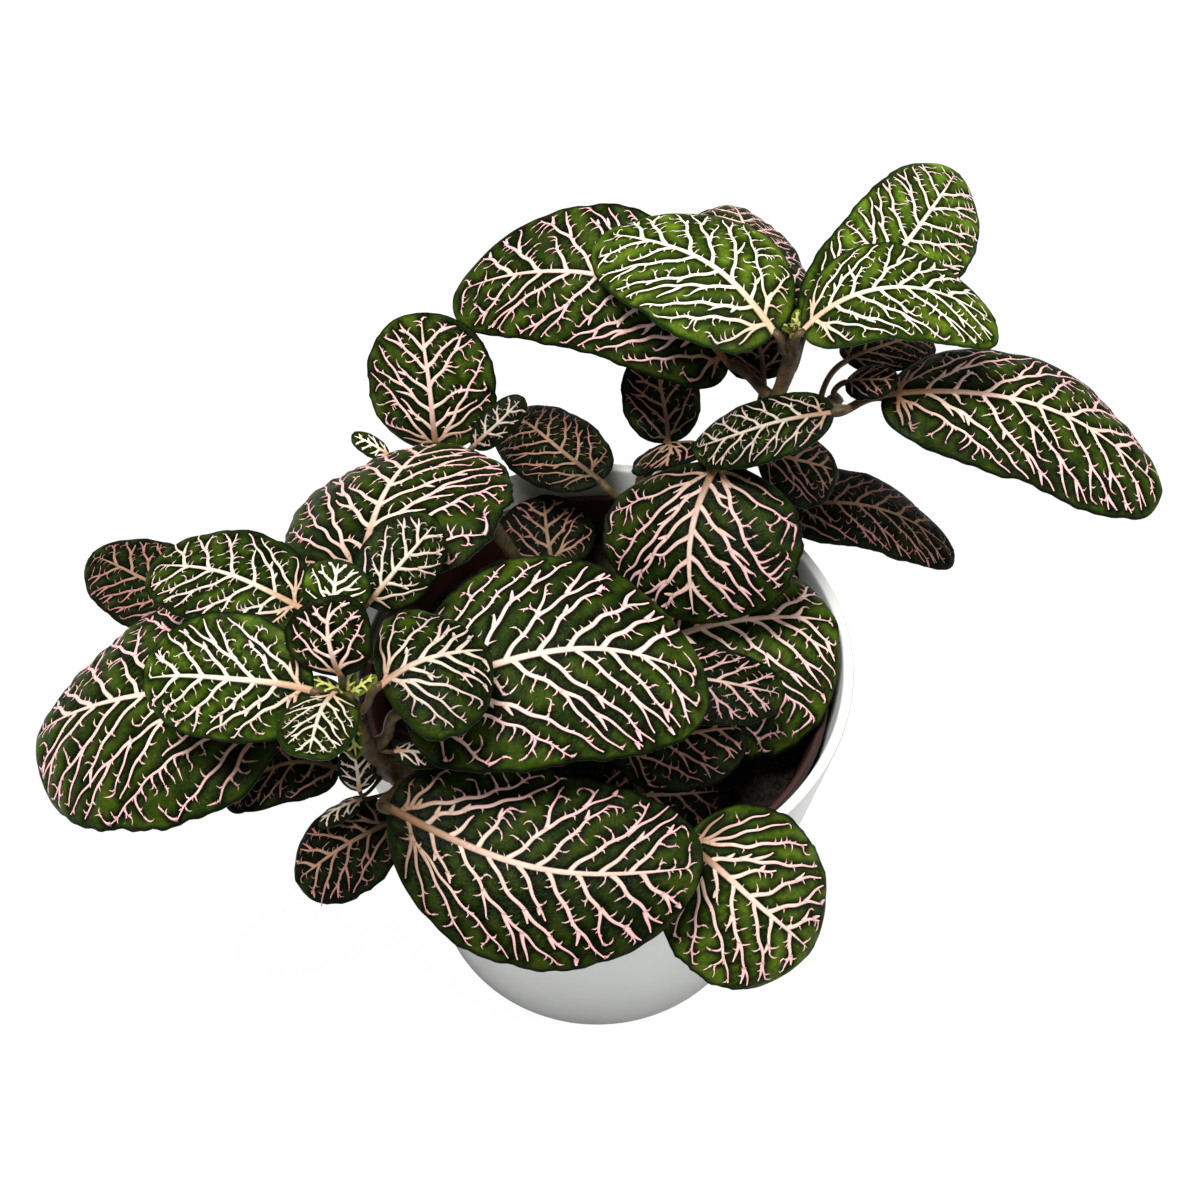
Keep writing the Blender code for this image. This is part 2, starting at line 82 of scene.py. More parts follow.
# %% Leaves of the plan
# Place of the greatest width, as a share of the length
BLADE_BELLY = 0.47
Leaf = namedtuple("Leaf", "base heading rise length width roll droop arch bow stem node stalk belly",
                  defaults=(BLADE_BELLY,))
LEAVES = {
    "leaf_west_north": Leaf((-54, -52, 185), 95, 52, 18, 19, 1, 20, 22, -2, "stem_west", 178, 0.8),
    "leaf_west_south": Leaf((-55, -56, 185), -97, 19, 23, 17, -1, 22, 22, 1, "stem_west", 177, 0.8),
    "leaf_west_left": Leaf((-60, -54, 182), 169, -9, 40, 29, -39, 20, 17, 2, "stem_west", 174, 1.0),
    "leaf_west_right": Leaf((-46, -53, 183), 24, -4, 26, 37, 3, 49, 34, -1, "stem_west", 174, 1.0, 0.37),
    "leaf_centre": Leaf((-42, -51, 170), 11, -6, 69, 52, 18, 16, 25, -10, "stem_west", 158, 1.4),
    "leaf_front": Leaf((-47, -61, 146), -7, -9, 73, 47, 22, 20, 27, 7, "stem_west", 140, 1.4),
    "leaf_far_left": Leaf((-70, -43, 158), 169, -24, 75, 65, -9, 49, 33, 4, "stem_west", 150, 1.4),
    "leaf_west_shaded": Leaf((-46, -60, 140), -161, -30, 29, 24, -8, 20, 22, 0, "stem_west", 130, 1.1),
    "leaf_west_under": Leaf((-58, -53, 150), 180, -25, 31, 19, -5, 20, 19, 4, "stem_west", 142, 1.1),
    "leaf_rear_left": Leaf((-64, -31, 180), 153, -11, 44, 27, -5, 21, 8, 2, "stem_rear", 169, 1.0),
    "leaf_rear_small": Leaf((-58, -33, 182), 78, 42, 12, 16, 2, 18, 18, 0, "stem_rear", 171, 0.8),
    "leaf_rear_curled": Leaf((-51, -29, 180), 49, 19, 25, 19, 40, 30, 30, 0, "stem_rear", 166, 0.9),
    "leaf_rear_wide": Leaf((-55, -19, 172), 73, -9, 58, 60, -18, 60, 29, 0, "stem_rear", 156, 1.3),
    "leaf_rear_outer": Leaf((-88, -7, 142), 146, -9, 51, 26, -10, 25, 20, 0, "stem_rear", 136, 1.0),
    "leaf_crown_left": Leaf((42, 37, 198), 135, -6, 58, 39, -8, 28, 28, 5, "stem_east", 190, 1.0),
    "leaf_crown_right": Leaf((48, 36, 199), 13, -10, 51, 31, 7, 33, 12, -10, "stem_east", 190, 1.0, 0.62),
    "leaf_crown_back": Leaf((46, 49, 192), 101, -13, 56, 31, 18, 41, 28, -4, "stem_east", 186, 1.0),
    "leaf_crown_far": Leaf((51, 45, 193), 56, -5, 77, 33, 19, 29, 23, 4, "stem_east", 182, 1.0, 0.58),
    "leaf_crown_low": Leaf((33, 48, 176), 156, -5, 78, 40, -34, 32, 23, 13, "stem_east", 175, 1.4),
    "leaf_branch_right": Leaf((70, 41, 172), -9, -17, 78, 45, 2, 37, 30, -8, "stem_branch", 168, 1.2, 0.57),
    "leaf_branch_left": Leaf((56, 24, 185), 169, -32, 39, 19, -15, 21, 23, 0, "stem_branch", 169.5, 1.0),
    "leaf_branch_small": Leaf((61, 43, 175), -21, 22, 14, 11, 12, 31, 26, 0, "stem_branch", 170.5, 0.8),
    "leaf_branch_under": Leaf((63, 57, 168), 36, -18, 32, 18, 0, 30, 20, 0, "stem_branch", 166, 0.8),
    "leaf_east_middle": Leaf((30, 29, 162), -100, -36, 43, 55, 15, 65, 30, 2, "stem_east", 158, 1.4),
    "leaf_east_shaded": Leaf((40, 38, 156), 2, -24, 24, 26, 7, 30, 25, 1, "stem_east", 154, 1.0),
    "leaf_east_low": Leaf((44, 35, 134), 6, -24, 59, 28, 2, 29, 18, -7, "stem_east", 130, 1.2, 0.55),
    "leaf_east_under": Leaf((23, 18, 120), 28, -5, 33, 30, 0, 20, 20, 0, "stem_east", 110, 1.0),
    "leaf_crown_stub": Leaf((41, 45, 174), 97, -5, 30, 21, -4, 29, 21, 1, "stem_east", 168, 0.9),
    "leaf_north_upright": Leaf((-41, 46, 146), 99, 59, 37, 35, -18, 20, 20, 0, "stem_north", 142, 1.1),
    "leaf_north_right": Leaf((1, 46, 134), 127, -13, 44, 26, -8, 36, 25, -1, "stem_middle", 124, 1.1),
    "leaf_north_small": Leaf((-52, 35, 157), 172, 34, 11, 7, -2, 20, 20, 0, "stem_north", 136, 0.8),
    "leaf_north_folded": Leaf((-31, 35, 160), 35, 28, 18, 9, 30, 15, 20, 0, "stem_north", 140, 0.8),
    "leaf_north_low": Leaf((-12, 33, 113), 98, 17, 22, 27, 1, 8, 20, 0, "stem_north", 106, 1.0),
    "leaf_middle_upright": Leaf((19, 56, 138), 101, 37, 26, 22, 2, 20, 21, 0, "stem_middle", 134, 0.9),
    "leaf_middle_small": Leaf((18, 50, 145), -103, 5, 11, 26, 29, 36, 21, -3, "stem_middle", 131, 0.9),
    "leaf_south_right": Leaf((11, -4, 125), 11, 0, 52, 73, 6, 32, 44, -4, "stem_south", 119, 1.3),
    "leaf_south_middle": Leaf((5, -18, 138), -7, -3, 41, 23, 5, 19, 22, 0, "stem_south", 124, 0.9),
    "leaf_south_dark": Leaf((3, -34, 129), 14, -6, 35, 28, 15, 24, 17, 0, "stem_south", 112, 1.0),
    "leaf_south_front": Leaf((20, -58, 126), -27, -36, 44, 45, 18, 39, 22, 0, "stem_south", 115, 1.2),
    "leaf_south_low": Leaf((-2, -39, 112), 14, -14, 36, 26, 14, 24, 26, 0, "stem_south", 106, 1.0),
}
print("leaves", len(LEAVES), "longest blade", max(leaf.length for leaf in LEAVES.values()), "mm")

# %% [markdown]
# Leaves darken as they age, and those that sit in the shade get the darkest finish: partly their own
# darker green, partly painted shade. Every leaf gets an age, which picks its finishes, and a tone,
# which says how light it is beside others of that age: partly its own green, partly painted light and
# shade for where it sits.

# %% Ages and tones
# Leaves that are not named here are mature
AGES = {
    "young": ("west_south", "crown_left", "crown_right", "rear_small", "north_small"),
    "fresh": ("west_left", "west_right", "rear_left", "rear_curled", "crown_far", "branch_left",
              "north_folded"),
    # Shaded leaves: their own darker green, partly painted shade.
    "shaded": ("west_shaded", "west_under", "east_low", "east_under", "east_shaded", "crown_stub",
               "branch_small", "branch_under", "south_dark", "south_low", "middle_small", "middle_upright",
               "north_right", "north_low", "rear_outer"),
}
# Tone of each leaf: partly its own green, partly painted light and shade for where it sits.
TONES_AND_LIGHTING = {
    "west_north": 0.8, "west_south": 0.6, "west_left": 1.5, "west_right": 0.55, "west_shaded": 1.1,
    "west_under": 1.5, "front": 0.7, "far_left": 1.1, "rear_left": 0.75, "rear_small": 1.4,
    "rear_curled": 0.65, "rear_wide": 0.85, "rear_outer": 1.8, "crown_left": 1.1, "crown_right": 0.95,
    "crown_far": 2.0, "crown_low": 1.3, "crown_stub": 1.4,
    "branch_right": 1.2, "branch_left": 0.5, "branch_small": 1.3, "branch_under": 1.6, "east_middle": 0.62,
    "east_shaded": 1.4, "east_low": 0.6, "north_upright": 1.45, "north_right": 1.5, "north_folded": 0.35,
    "north_low": 0.8, "middle_upright": 1.8, "south_right": 1.5, "south_middle": 0.45, "south_dark": 1.4,
    "south_front": 1.9,
}


def age_of(name):
    for age, names in AGES.items():
        if name in names:
            return age
    return "mature"


print("mature leaves", sum(age_of(name.replace("leaf_", "")) == "mature" for name in LEAVES))

# %% [markdown]
# ## The shape of a blade
# A real blade is a thin sheet that bends along its rib and across it. Here it is a flat outline that
# is rolled twice: once along its length, once across. Working in flat millimetres first makes it easy
# to draw the veins on the leaf and to bend both together afterwards.

# %% Blade geometry
BASE_ROUNDNESS = 2.15
TIP_ROUNDNESS = 2.2
LEAST_HALF_WIDTH = 0.25
PAST_MARGIN = 1.1


def unit(vector):
    return vector / np.linalg.norm(vector)


def blade_axes(leaf):
    """Unit vectors along the blade, to its right and up from its face."""
    heading, rise, roll = (math.radians(a) for a in (leaf.heading, leaf.rise, leaf.roll))
    along = np.array((math.cos(heading) * math.cos(rise), math.sin(heading) * math.cos(rise), math.sin(rise)))
    level = np.array((math.sin(heading), -math.cos(heading), 0.0))
    normal = np.cross(level, along)
    side = level * math.cos(roll) - normal * math.sin(roll)
    return along, side, normal * math.cos(roll) + level * math.sin(roll)


def half_width(leaf, t):
    """Half of the blade's width at t, from 0 at the stalk to 1 at the tip."""
    t = np.clip(t, 0.0, 1.0)
    base_side = t < leaf.belly
    reach = np.where(base_side, (leaf.belly - t) / leaf.belly, (t - leaf.belly) / (1 - leaf.belly))
    power = np.where(base_side, BASE_ROUNDNESS, TIP_ROUNDNESS)
    return 0.5 * leaf.width * np.maximum(1 - reach ** power, 0.0) ** (1 / power)


def on_blade(leaf, x, y, lift):
    """Bend flat points (x along the rib, y across, lift above the sheet) into place, in millimetres."""
    x, y, lift = (np.asarray(a, float) for a in (x, y, lift))
    t = x / leaf.length
    along, side, normal = blade_axes(leaf)
    droop = math.radians(leaf.droop)
    arch = math.radians(leaf.arch)
    tilt = droop / 2 - droop * t
    forward = leaf.length * (math.sin(droop / 2) - np.sin(tilt)) / droop
    height = leaf.length * (np.cos(tilt) - math.cos(droop / 2)) / droop
    width = np.maximum(half_width(leaf, t), LEAST_HALF_WIDTH)
    turn = np.clip(y / width, -PAST_MARGIN, PAST_MARGIN) * arch
    across = leaf.bow * 4 * t * (1 - t) + width * np.sin(turn) / arch
    up = lift - width * (1 - np.cos(turn)) / arch
    forward = forward - up * np.sin(tilt)
    height = height + up * np.cos(tilt)
    start = np.array(leaf.base, float)
    return start + forward[..., None] * along + across[..., None] * side + height[..., None] * normal


print("widest leaf", max(leaf.width for leaf in LEAVES.values()), "mm")

# %% [markdown]
# ## Veins that grow
# A nerve plant's veins leave the rib in pairs, bend towards the tip, fork, and carry many short barbs.
# They could be painted, but painted lines blur close up. Here they grow on the flat leaf like
# real ones. The rib and its side veins are drawn first. Then food is scattered where the leaf has no
# vein yet, the nearest vein sends a shoot to it, and the shoots branch as they go.

# %% Net and margin
MARGIN_GAP = 1.5


def distances(points, others):
    """From every point to every other, as one row for each point."""
    return np.hypot(points[:, None, 0] - others[None, :, 0], points[:, None, 1] - others[None, :, 1])


class Net:
    """Vein nodes of a leaf: place, parent, heading, level (0 rib, 1 side, 2 branch, 3 barb), shoots."""

    def __init__(self, step):
        self.step = step
        self.spots, self.parents, self.headings, self.levels, self.shoots = [], [], [], [], []

    def add(self, spot, parent, heading, level):
        self.spots.append(spot)
        self.parents.append(parent)
        self.headings.append(heading)
        self.levels.append(level)
        self.shoots.append(0)
        if parent >= 0:
            self.shoots[parent] += 1
        return len(self.spots) - 1


def outline_of(leaf):
    t = 0.5 - 0.5 * np.cos(np.linspace(0, math.pi, 90))
    half = half_width(leaf, t)
    return np.vstack((np.column_stack((t * leaf.length, half)), np.column_stack((t * leaf.length, -half))))


def depth_in(leaf, edge, points):
    """How far points lie inside the margin, below zero outside it."""
    points = np.atleast_2d(points)
    near = distances(points, edge).min(1)
    t = points[:, 0] / leaf.length
    inside = (t > 0) & (t < 1) & (np.abs(points[:, 1]) < half_width(leaf, t))
    return np.where(inside, near, -near)


def leaf_scale(leaf):
    """Small leaves have finer veins."""
    return min(max(math.sqrt(leaf.width / 45.0), 0.5), 1.1)


for name in ("leaf_front", "leaf_north_small"):
    print(name, "scale of the veins", round(leaf_scale(LEAVES[name]), 2))

# %% [markdown]
# A side vein walks from the rib to the margin. It wiggles, bends slowly towards the tip, forks where
# it has room, and stops before it meets another vein. Its angle to the rib never falls below a least
# value, or it would run along the margin and shut the others out.

# %% Rib and side veins
RIB_END = 0.965
LEAST_ANGLE = math.radians(31)
ROOM_AT_ROOT = 4.0
ROOM = 1.7
WIGGLE = 0.2
WIGGLE_LENGTH = 1.25
BEND = (7, 14)
FIRST_FORK = (0.32, 0.55)
NEXT_FORK = (0.3, 0.45)
TURN_OUT = (0.35, 0.55)
TURN_IN = (0.12, 0.25)


def grow_side(leaf, edge, net, root, angle, side, forks, rng):
    """Walk from the rib towards the margin, fork on the way, stop short of other veins."""
    scale = leaf_scale(leaf)
    start = np.array(net.spots[root])
    before = np.array(net.spots)
    before = before[np.hypot(*(before - start).T) > ROOM_AT_ROOT * scale]
    clear = max(depth_in(leaf, edge, start)[0], 3.0 * scale)
    fork_at = rng.uniform(*FIRST_FORK) * clear / max(math.sin(abs(angle)), 0.5)
    phase = rng.uniform(0, 6.28)
    bend = -side * math.radians(rng.uniform(*BEND)) / max(leaf.width * 0.6, 6.0)
    place, parent, run = start, root, 0.0
    while run < leaf.length:
        angle = side * max(side * (angle + bend * net.step + rng.normal(0, 0.04)), LEAST_ANGLE)
        way = angle + WIGGLE * math.sin(run / (WIGGLE_LENGTH * scale) + phase)
        heading = np.array((math.cos(way), math.sin(way)))
        place = place + net.step * heading
        run += net.step
        if run > 2 * net.step and depth_in(leaf, edge, place)[0] < MARGIN_GAP * scale:
            break
        if len(before) and np.min(np.hypot(*(before - place).T)) < ROOM * scale:
            break
        parent = net.add(tuple(place), parent, tuple(heading), 1)
        if forks and run > fork_at:
            forks -= 1
            fork_at = run + rng.uniform(*NEXT_FORK) * clear
            grow_side(leaf, edge, net, parent, angle + side * rng.uniform(*TURN_OUT), side, 0, rng)
            angle -= side * rng.uniform(*TURN_IN)


def start_net(leaf, edge, rng):
    """The rib and its side veins, which leave it in pairs that are slightly apart."""
    net = Net(min(0.85, max(0.4, leaf.length / 30)))
    count = int(leaf.length * RIB_END / net.step)
    phase = rng.uniform(0, 6)
    sway = 0.006 * leaf.length
    last = -1
    for k in range(count):
        x = 0.3 + k * net.step
        last = net.add((x, sway * math.sin(x / leaf.length * 8 + phase)), last, (1.0, 0.0), 0)
    pairs = int(round(2.6 + leaf.length / 12.0))
    leave = math.radians(rng.uniform(48, 55))
    shift = {-1: rng.uniform(-0.25, 0.05), 1: rng.uniform(-0.05, 0.25)}
    for k in range(pairs):
        for side in (-1, 1):
            t = 0.03 + 0.84 * max((k + 0.3 + shift[side]) / pairs, 0.0) ** 1.06
            root = min(int(t * leaf.length / net.step), count - 1)
            angle = side * (leave * (1.1 - 0.3 * t) + rng.normal(0, 0.05))
            forks = 3 if leaf.width > 40 else 2 if leaf.width > 22 else 1
            grow_side(leaf, edge, net, root, angle, side, forks, rng)
    return net


trial_leaf = LEAVES["leaf_front"]
trial_edge = outline_of(trial_leaf)
trial_net = start_net(trial_leaf, trial_edge, np.random.default_rng(1))
print("front leaf: rib and side veins have", len(trial_net.spots), "nodes")

# %% [markdown]
# Space colonisation fills what is left. Each piece of food pulls at the vein node nearest to it. The
# node sends out a shoot towards the mean of its pulls, and food that a shoot reaches is gone. A
# first pass makes branches, a second and denser pass makes the short barbs.

# %% Food
def scatter_food(leaf, edge, net, spacing, clear, rng):
    """Points on a shaken grid, inside the margin and clear of every vein."""
    half = leaf.width / 2
    x, y = np.meshgrid(np.arange(0, leaf.length, spacing), np.arange(-half, half, spacing))
    food = np.column_stack((x.ravel(), y.ravel())) + rng.uniform(-0.4, 0.4, (x.size, 2)) * spacing
    food = food[depth_in(leaf, edge, food) > MARGIN_GAP]
    spots = np.array(net.spots)
    return food[distances(food, spots).min(1) > clear]


trial_food = scatter_food(trial_leaf, trial_edge, trial_net, 3.0, 2.0, np.random.default_rng(2))
print("front leaf: pieces of food", len(trial_food))

# %% [markdown]
# All tips grow one step in each round, so no branch gets ahead of the others. Old veins may send out
# one shoot more than new ones, and a shoot that would leave the blade gives its food up.

# %% Branches and barbs
GROWTH_ROUNDS = 36
OLD_SHOOTS = 3
NEW_SHOOTS = 2
# Level, spacing of the food, room kept clear, distance of eating and pull onwards
GROWTHS = ((2, 2.9, 1.8, 1.5, 1.0), (3, 1.8, 1.3, 0.8, 0.8))
BRANCH_REACH = 9.0
BARB_REACH = 3.4


def colonise(leaf, edge, net, food, reach, eaten, level, lean):
    """The nearest vein grows towards each piece of food until the food is reached."""
    if not len(food):
        return
    spots = np.array(net.spots)
    away = distances(food, spots)
    owner = away.argmin(1)
    best = away.min(1)
    lost = np.zeros(len(food), bool)
    for _ in range(GROWTH_ROUNDS):
        live = ~lost & (best < reach) & (best > eaten)
        if not live.any():
            break
        fresh = []
        for parent in np.unique(owner[live]):
            mine = live & (owner == parent)
            place = np.array(net.spots[parent])
            pull = food[mine] - place
            pull = (pull / np.linalg.norm(pull, axis=1)[:, None]).mean(0)
            tip_on = lean if net.levels[parent] < level else 0.35
            heading = pull + tip_on * np.array(net.headings[parent])
            size = np.linalg.norm(heading)
            ahead = place + net.step * heading / max(size, 1e-6)
            full = net.shoots[parent] >= (OLD_SHOOTS if net.levels[parent] < level else NEW_SHOOTS)
            if full or size < 0.2 or depth_in(leaf, edge, ahead)[0] < MARGIN_GAP * 0.8:
                lost |= mine
                continue
            fresh.append(net.add(tuple(ahead), int(parent), tuple(heading / size), level))
        if not fresh:
            continue
        new = np.array([net.spots[k] for k in fresh])
        away = distances(food, new)
        closer = away.min(1) < best
        owner[closer] = np.array(fresh)[away.argmin(1)[closer]]
        best = np.minimum(best, away.min(1))


def grow_fine(leaf, edge, net, rng):
    scale = leaf_scale(leaf)
    for level, spacing, clear, eaten, lean in GROWTHS:
        reach = BRANCH_REACH if level == 2 else BARB_REACH * scale
        food = scatter_food(leaf, edge, net, spacing * scale, clear * scale, rng)
        colonise(leaf, edge, net, food, reach, eaten * scale, level, lean)


grow_fine(trial_leaf, trial_edge, trial_net, np.random.default_rng(2))
print("front leaf: with branches and barbs", len(trial_net.spots), "nodes")

# %% [markdown]
# The net is a tree of nodes. It is cut into runs that each follow the strongest child, so that
# a run is one vein. The number of nodes that hang on each node is counted on the way.

# %% Runs of the net
def chains_of(net):
    """Split the net into runs of nodes; each run starts on its parent vein."""
    count = len(net.spots)
    below = np.ones(count)
    children = [[] for _ in range(count)]
    for k in range(count - 1, 0, -1):
        if net.parents[k] >= 0:
            below[net.parents[k]] += below[k] if net.levels[k] >= 2 else 0
            children[net.parents[k]].append(k)
    follow = {}
    for k, kids in enumerate(children):
        same = [c for c in kids if net.levels[c] == net.levels[k]]
        if same:
            follow[k] = max(same, key=lambda c: below[c])
    runs = []
    followed = set(follow.values())
    for k in range(count):
        if k in followed:
            continue
        run = [k]
        while run[-1] in follow:
            run.append(follow[run[-1]])
        runs.append(run)
    return runs, below


print("front leaf: runs", len(chains_of(trial_net)[0]))

# %% [markdown]
# A vein is widest at its root, thins to a point, and is stouter where more nodes hang on it. Its
# warmth, from brown at the stalk to pink at the margin, is kept for the finish.

# %% Veins with their widths
Vein = namedtuple("Vein", "points widths level warmth along")
SIDE_WIDTH, FORK_WIDTH = 0.5, 0.38
FINE_WIDTHS = (0.2, 0.15)
FINE_FLARES = (0.2, 0.1)
FLARE_LENGTH = 0.7


def widths_of(net, run, count, below, scale):
    """Half-widths of a run at count points."""
    level, start = net.levels[run[0]], net.parents[run[0]]
    u = np.linspace(0, 1, count)
    reach = np.arange(count) * net.step
    if level == 0:
        return scale * (0.55 * (1 - u) ** 1.5 + 0.47 * (1 - u ** 6)) + 0.1
    if level == 1:
        stout = SIDE_WIDTH if net.levels[start] == 0 else FORK_WIDTH
        return scale * (stout * (1 - 0.7 * u ** 2.5) + 0.3 * np.exp(-reach / 1.3)) + 0.03
    grown = np.array([below[run[0]]] * (count - len(run)) + [below[k] for k in run])
    flare = FINE_FLARES[level - 2] * np.exp(-reach / FLARE_LENGTH)
    widths = scale * (FINE_WIDTHS[level - 2] + 0.055 * np.sqrt(grown) + flare)
    return widths * (1 - 0.8 * u ** 3)


def warmth_of(level, out, along):
    """The rib warms towards the tip, the others also towards the margin."""
    if level == 0:
        return np.clip(along * 0.7, 0, 1)
    return np.clip(0.25 + 0.6 * out + 0.35 * along + 0.1 * (level > 1), 0, 1)


def grow_veins(leaf, rng):
    edge = outline_of(leaf)
    net = start_net(leaf, edge, rng)
    grow_fine(leaf, edge, net, rng)
    runs, below = chains_of(net)
    veins = []
    for run in runs:
        level, start = net.levels[run[0]], net.parents[run[0]]
        points = np.array([net.spots[k] for k in ([start] if start >= 0 else []) + run])
        if len(points) < 2:
            continue
        widths = widths_of(net, run, len(points), below, leaf_scale(leaf))
        if len(points) > 3:
            points[1:-1] = (points[:-2] + 2 * points[1:-1] + points[2:]) / 4
        out = np.clip(np.abs(points[:, 1]) / (0.5 * leaf.width), 0, 1)
        along = np.clip(points[:, 0] / leaf.length, 0, 1)
        veins.append(Vein(points, widths, level, warmth_of(level, out, along), along))
    return veins


trial = grow_veins(trial_leaf, np.random.default_rng(1))
print("front leaf: veins", len(trial), "points", sum(len(v.points) for v in trial))

# %% [markdown]
# ## From flat leaf to mesh
# The sheet is puffed up between the veins and sinks at each vein, as the real leaf does, and its
# underside is ribbed. Each vein is a slim closed strip with a lens-shaped section that lies on the
# sheet. The stalk leaves its stem square and meets the blade in line.

# %% Mesh collector
class Mesh:
    """Collects vertices, faces, material numbers and a few values for each vertex."""

    def __init__(self, names, **plain):
        self.plain = plain
        self.points, self.faces, self.slots = [], [], []
        self.values = {name: [] for name in names}
        self.size = 0

    def add(self, points, faces, slot, **values):
        """New points, and faces numbered from the first of them."""
        points = np.asarray(points, float).reshape(-1, 3)
        self.points.append(points)
        self.more(faces, slot, self.size)
        for name, held in self.values.items():
            value = np.asarray(values.get(name, self.plain.get(name, 0.0)), float).ravel()
            held.append(np.broadcast_to(value, (len(points),)))
        self.size += len(points)

    def more(self, faces, slot, start):
        """Faces numbered from the point start."""
        self.faces.append(np.asarray(faces, int) + start)
        self.slots.append(np.full(len(faces), slot))

    def close_tube(self, start, rings, sides, slot):
        ring = np.arange(sides)
        self.more([ring[::-1]], slot, start)
        self.more([(rings - 1) * sides + ring], slot, start)

    def build(self, name, materials):
        points = np.concatenate(self.points) * MM
        faces = [tuple(face) for block in self.faces for face in block.tolist()]
        mesh = bpy.data.meshes.new(name)
        mesh.from_pydata(points.tolist(), [], faces)
        for material in materials:
            mesh.materials.append(material)
        mesh.polygons.foreach_set("material_index", np.concatenate(self.slots).astype(np.int32))
        for label, held in self.values.items():
            attribute = mesh.attributes.new(label, "FLOAT", "POINT")
            attribute.data.foreach_set("value", np.concatenate(held).astype(np.float32))
        mesh.shade_smooth()
        mesh.update()
        piece = bpy.data.objects.new(name, mesh)
        bpy.context.scene.collection.objects.link(piece)
        return piece


def ring_faces(rings, size):
    """Quads between rings of points, all round, facing out for rings that turn right-handed."""
    k, j = np.meshgrid(np.arange(rings - 1), np.arange(size), indexing="ij")
    a = k * size + j
    b = k * size + (j + 1) % size
    return np.stack((a, b, b + size, a + size), -1).reshape(-1, 4)


print("faces between three rings of twelve points", len(ring_faces(3, 12)))

# %% [markdown]
# The sheet is a grid with closer rows at its ends and closer columns at its margins. Its height comes
# from the distance to the nearest vein: none at the vein, a soft puff between veins. A slow wave
# lifts the margins, and the rim joins the two faces so that the sheet is closed.

# %% The sheet
PUFF = 0.7
PUFF_REACH = 1.25
SHEET = 0.36
WAVE = 0.4
RIB_BELOW = 0.35
BLOCK = 512


def vein_distance(x, y, veins):
    """Distance from flat points to the edge of the nearest vein of the first three levels."""
    strong = [v for v in veins if v.level < 3]
    centres = np.vstack([v.points for v in strong])
    widths = np.concatenate([v.widths for v in strong])
    nearest = np.full(x.shape, 9.0)
    flat_x, flat_y = x.ravel(), y.ravel()
    out = nearest.ravel()
    for start in range(0, len(flat_x), BLOCK):
        block = slice(start, start + BLOCK)
        reach = np.hypot(flat_x[block, None] - centres[None, :, 0], flat_y[block, None] - centres[None, :, 1])
        out[block] = np.min(reach - widths[None, :], axis=1)
    return np.maximum(out.reshape(x.shape), 0.0)


def add_sheet(build, leaf, veins, rng):
    """Both faces of the blade and the rim that joins them."""
    rows = int(np.clip(leaf.length / 1.05, 14, 72))
    columns = int(np.clip(leaf.width / 1.0, 10, 56))
    u = np.linspace(0, 1, rows + 1)
    t = np.clip(0.55 * (0.5 - 0.5 * np.cos(np.pi * u)) + 0.45 * u, 0.0025, 0.9992)
    v = np.sin(np.linspace(-1, 1, columns + 1) * math.pi / 2 * 0.8) / math.sin(math.pi / 2 * 0.8)
    tt, vv = np.meshgrid(t, v, indexing="ij")
    phase = rng.uniform(0, 6.28, 6)
    wobble = 0.011 * np.sin(tt * 21 + phase[0] + (vv > 0) * 2)
    wobble = wobble + 0.008 * np.sin(tt * 47 + phase[1] + (vv > 0) * 3)
    wobble += 0.006 * np.sin(tt * 92 + phase[4] + (vv > 0) * 4)
    x = tt * leaf.length
    y = vv * half_width(leaf, tt) * (1 + (wobble - 0.01) * np.abs(vv) ** 3)
    gap = vein_distance(x, y, veins)
    edge = np.minimum((1 - np.abs(vv)) * half_width(leaf, tt), np.minimum(tt, 1 - tt) * leaf.length)
    fade = np.clip(edge / min(3.0, leaf.width * 0.1), 0, 1)
    puff = PUFF * min(leaf.width / 34, 1.0) * (1 - np.exp(-(gap / PUFF_REACH) ** 2)) * (0.25 + 0.75 * fade)
    wave = WAVE * min(leaf.width / 40, 1.0) * np.abs(vv) ** 3 * (
        np.sin(tt * 15 + phase[2] + (vv > 0) * 2.1) + 0.6 * np.sin(tt * 33 + phase[3] + (vv > 0) * 1.1))
    thick = SHEET * np.sqrt(np.clip(edge / 1.2, 0.12, 1))
    top = puff + wave + thick * 0.5
    ribbed = RIB_BELOW * np.exp(-(gap / 0.8) ** 2) * fade * min(leaf.width / 40, 1.0)
    low = puff * 0.8 + wave - thick * 0.5 - ribbed
    upper = on_blade(leaf, x, y, top).reshape(-1, 3)
    lower = on_blade(leaf, x, y, low).reshape(-1, 3)
    wide = columns + 1
    i, j = np.meshgrid(np.arange(rows), np.arange(columns), indexing="ij")
    a = (i * wide + j).ravel()
    up_faces = np.stack((a, a + 1, a + wide + 1, a + wide), -1)
    near = dict(gap=gap.ravel(), edge=edge.ravel(), along=tt.ravel())
    loop = np.concatenate((np.arange(wide), np.arange(1, rows + 1) * wide + columns,
                           rows * wide + np.arange(columns - 1, -1, -1), np.arange(rows - 1, 0, -1) * wide))
    points = np.vstack((upper, lower))
    shift = len(upper)
    after = np.roll(loop, -1)
    rim = np.stack((loop, loop + shift, after + shift, after), -1)
    both = {key: np.concatenate((value, value)) for key, value in near.items()}
    start = build.size
    build.add(points, up_faces[:, ::-1], 0, **both)
    build.more(up_faces + shift, 1, start)
    build.more(rim[:, ::-1], 1, start)
    return t, v, top


print("sheet", SHEET, "mm thick, puffed up by", PUFF, "mm")

# %% [markdown]
# A vein is a slim closed strip that stands a little proud of the sheet, rounder for the rib and the
# side veins, with two faces for the fine ones. It is laid at the height of the finished sheet, so it
# neither floats over a groove nor sinks into a puff.

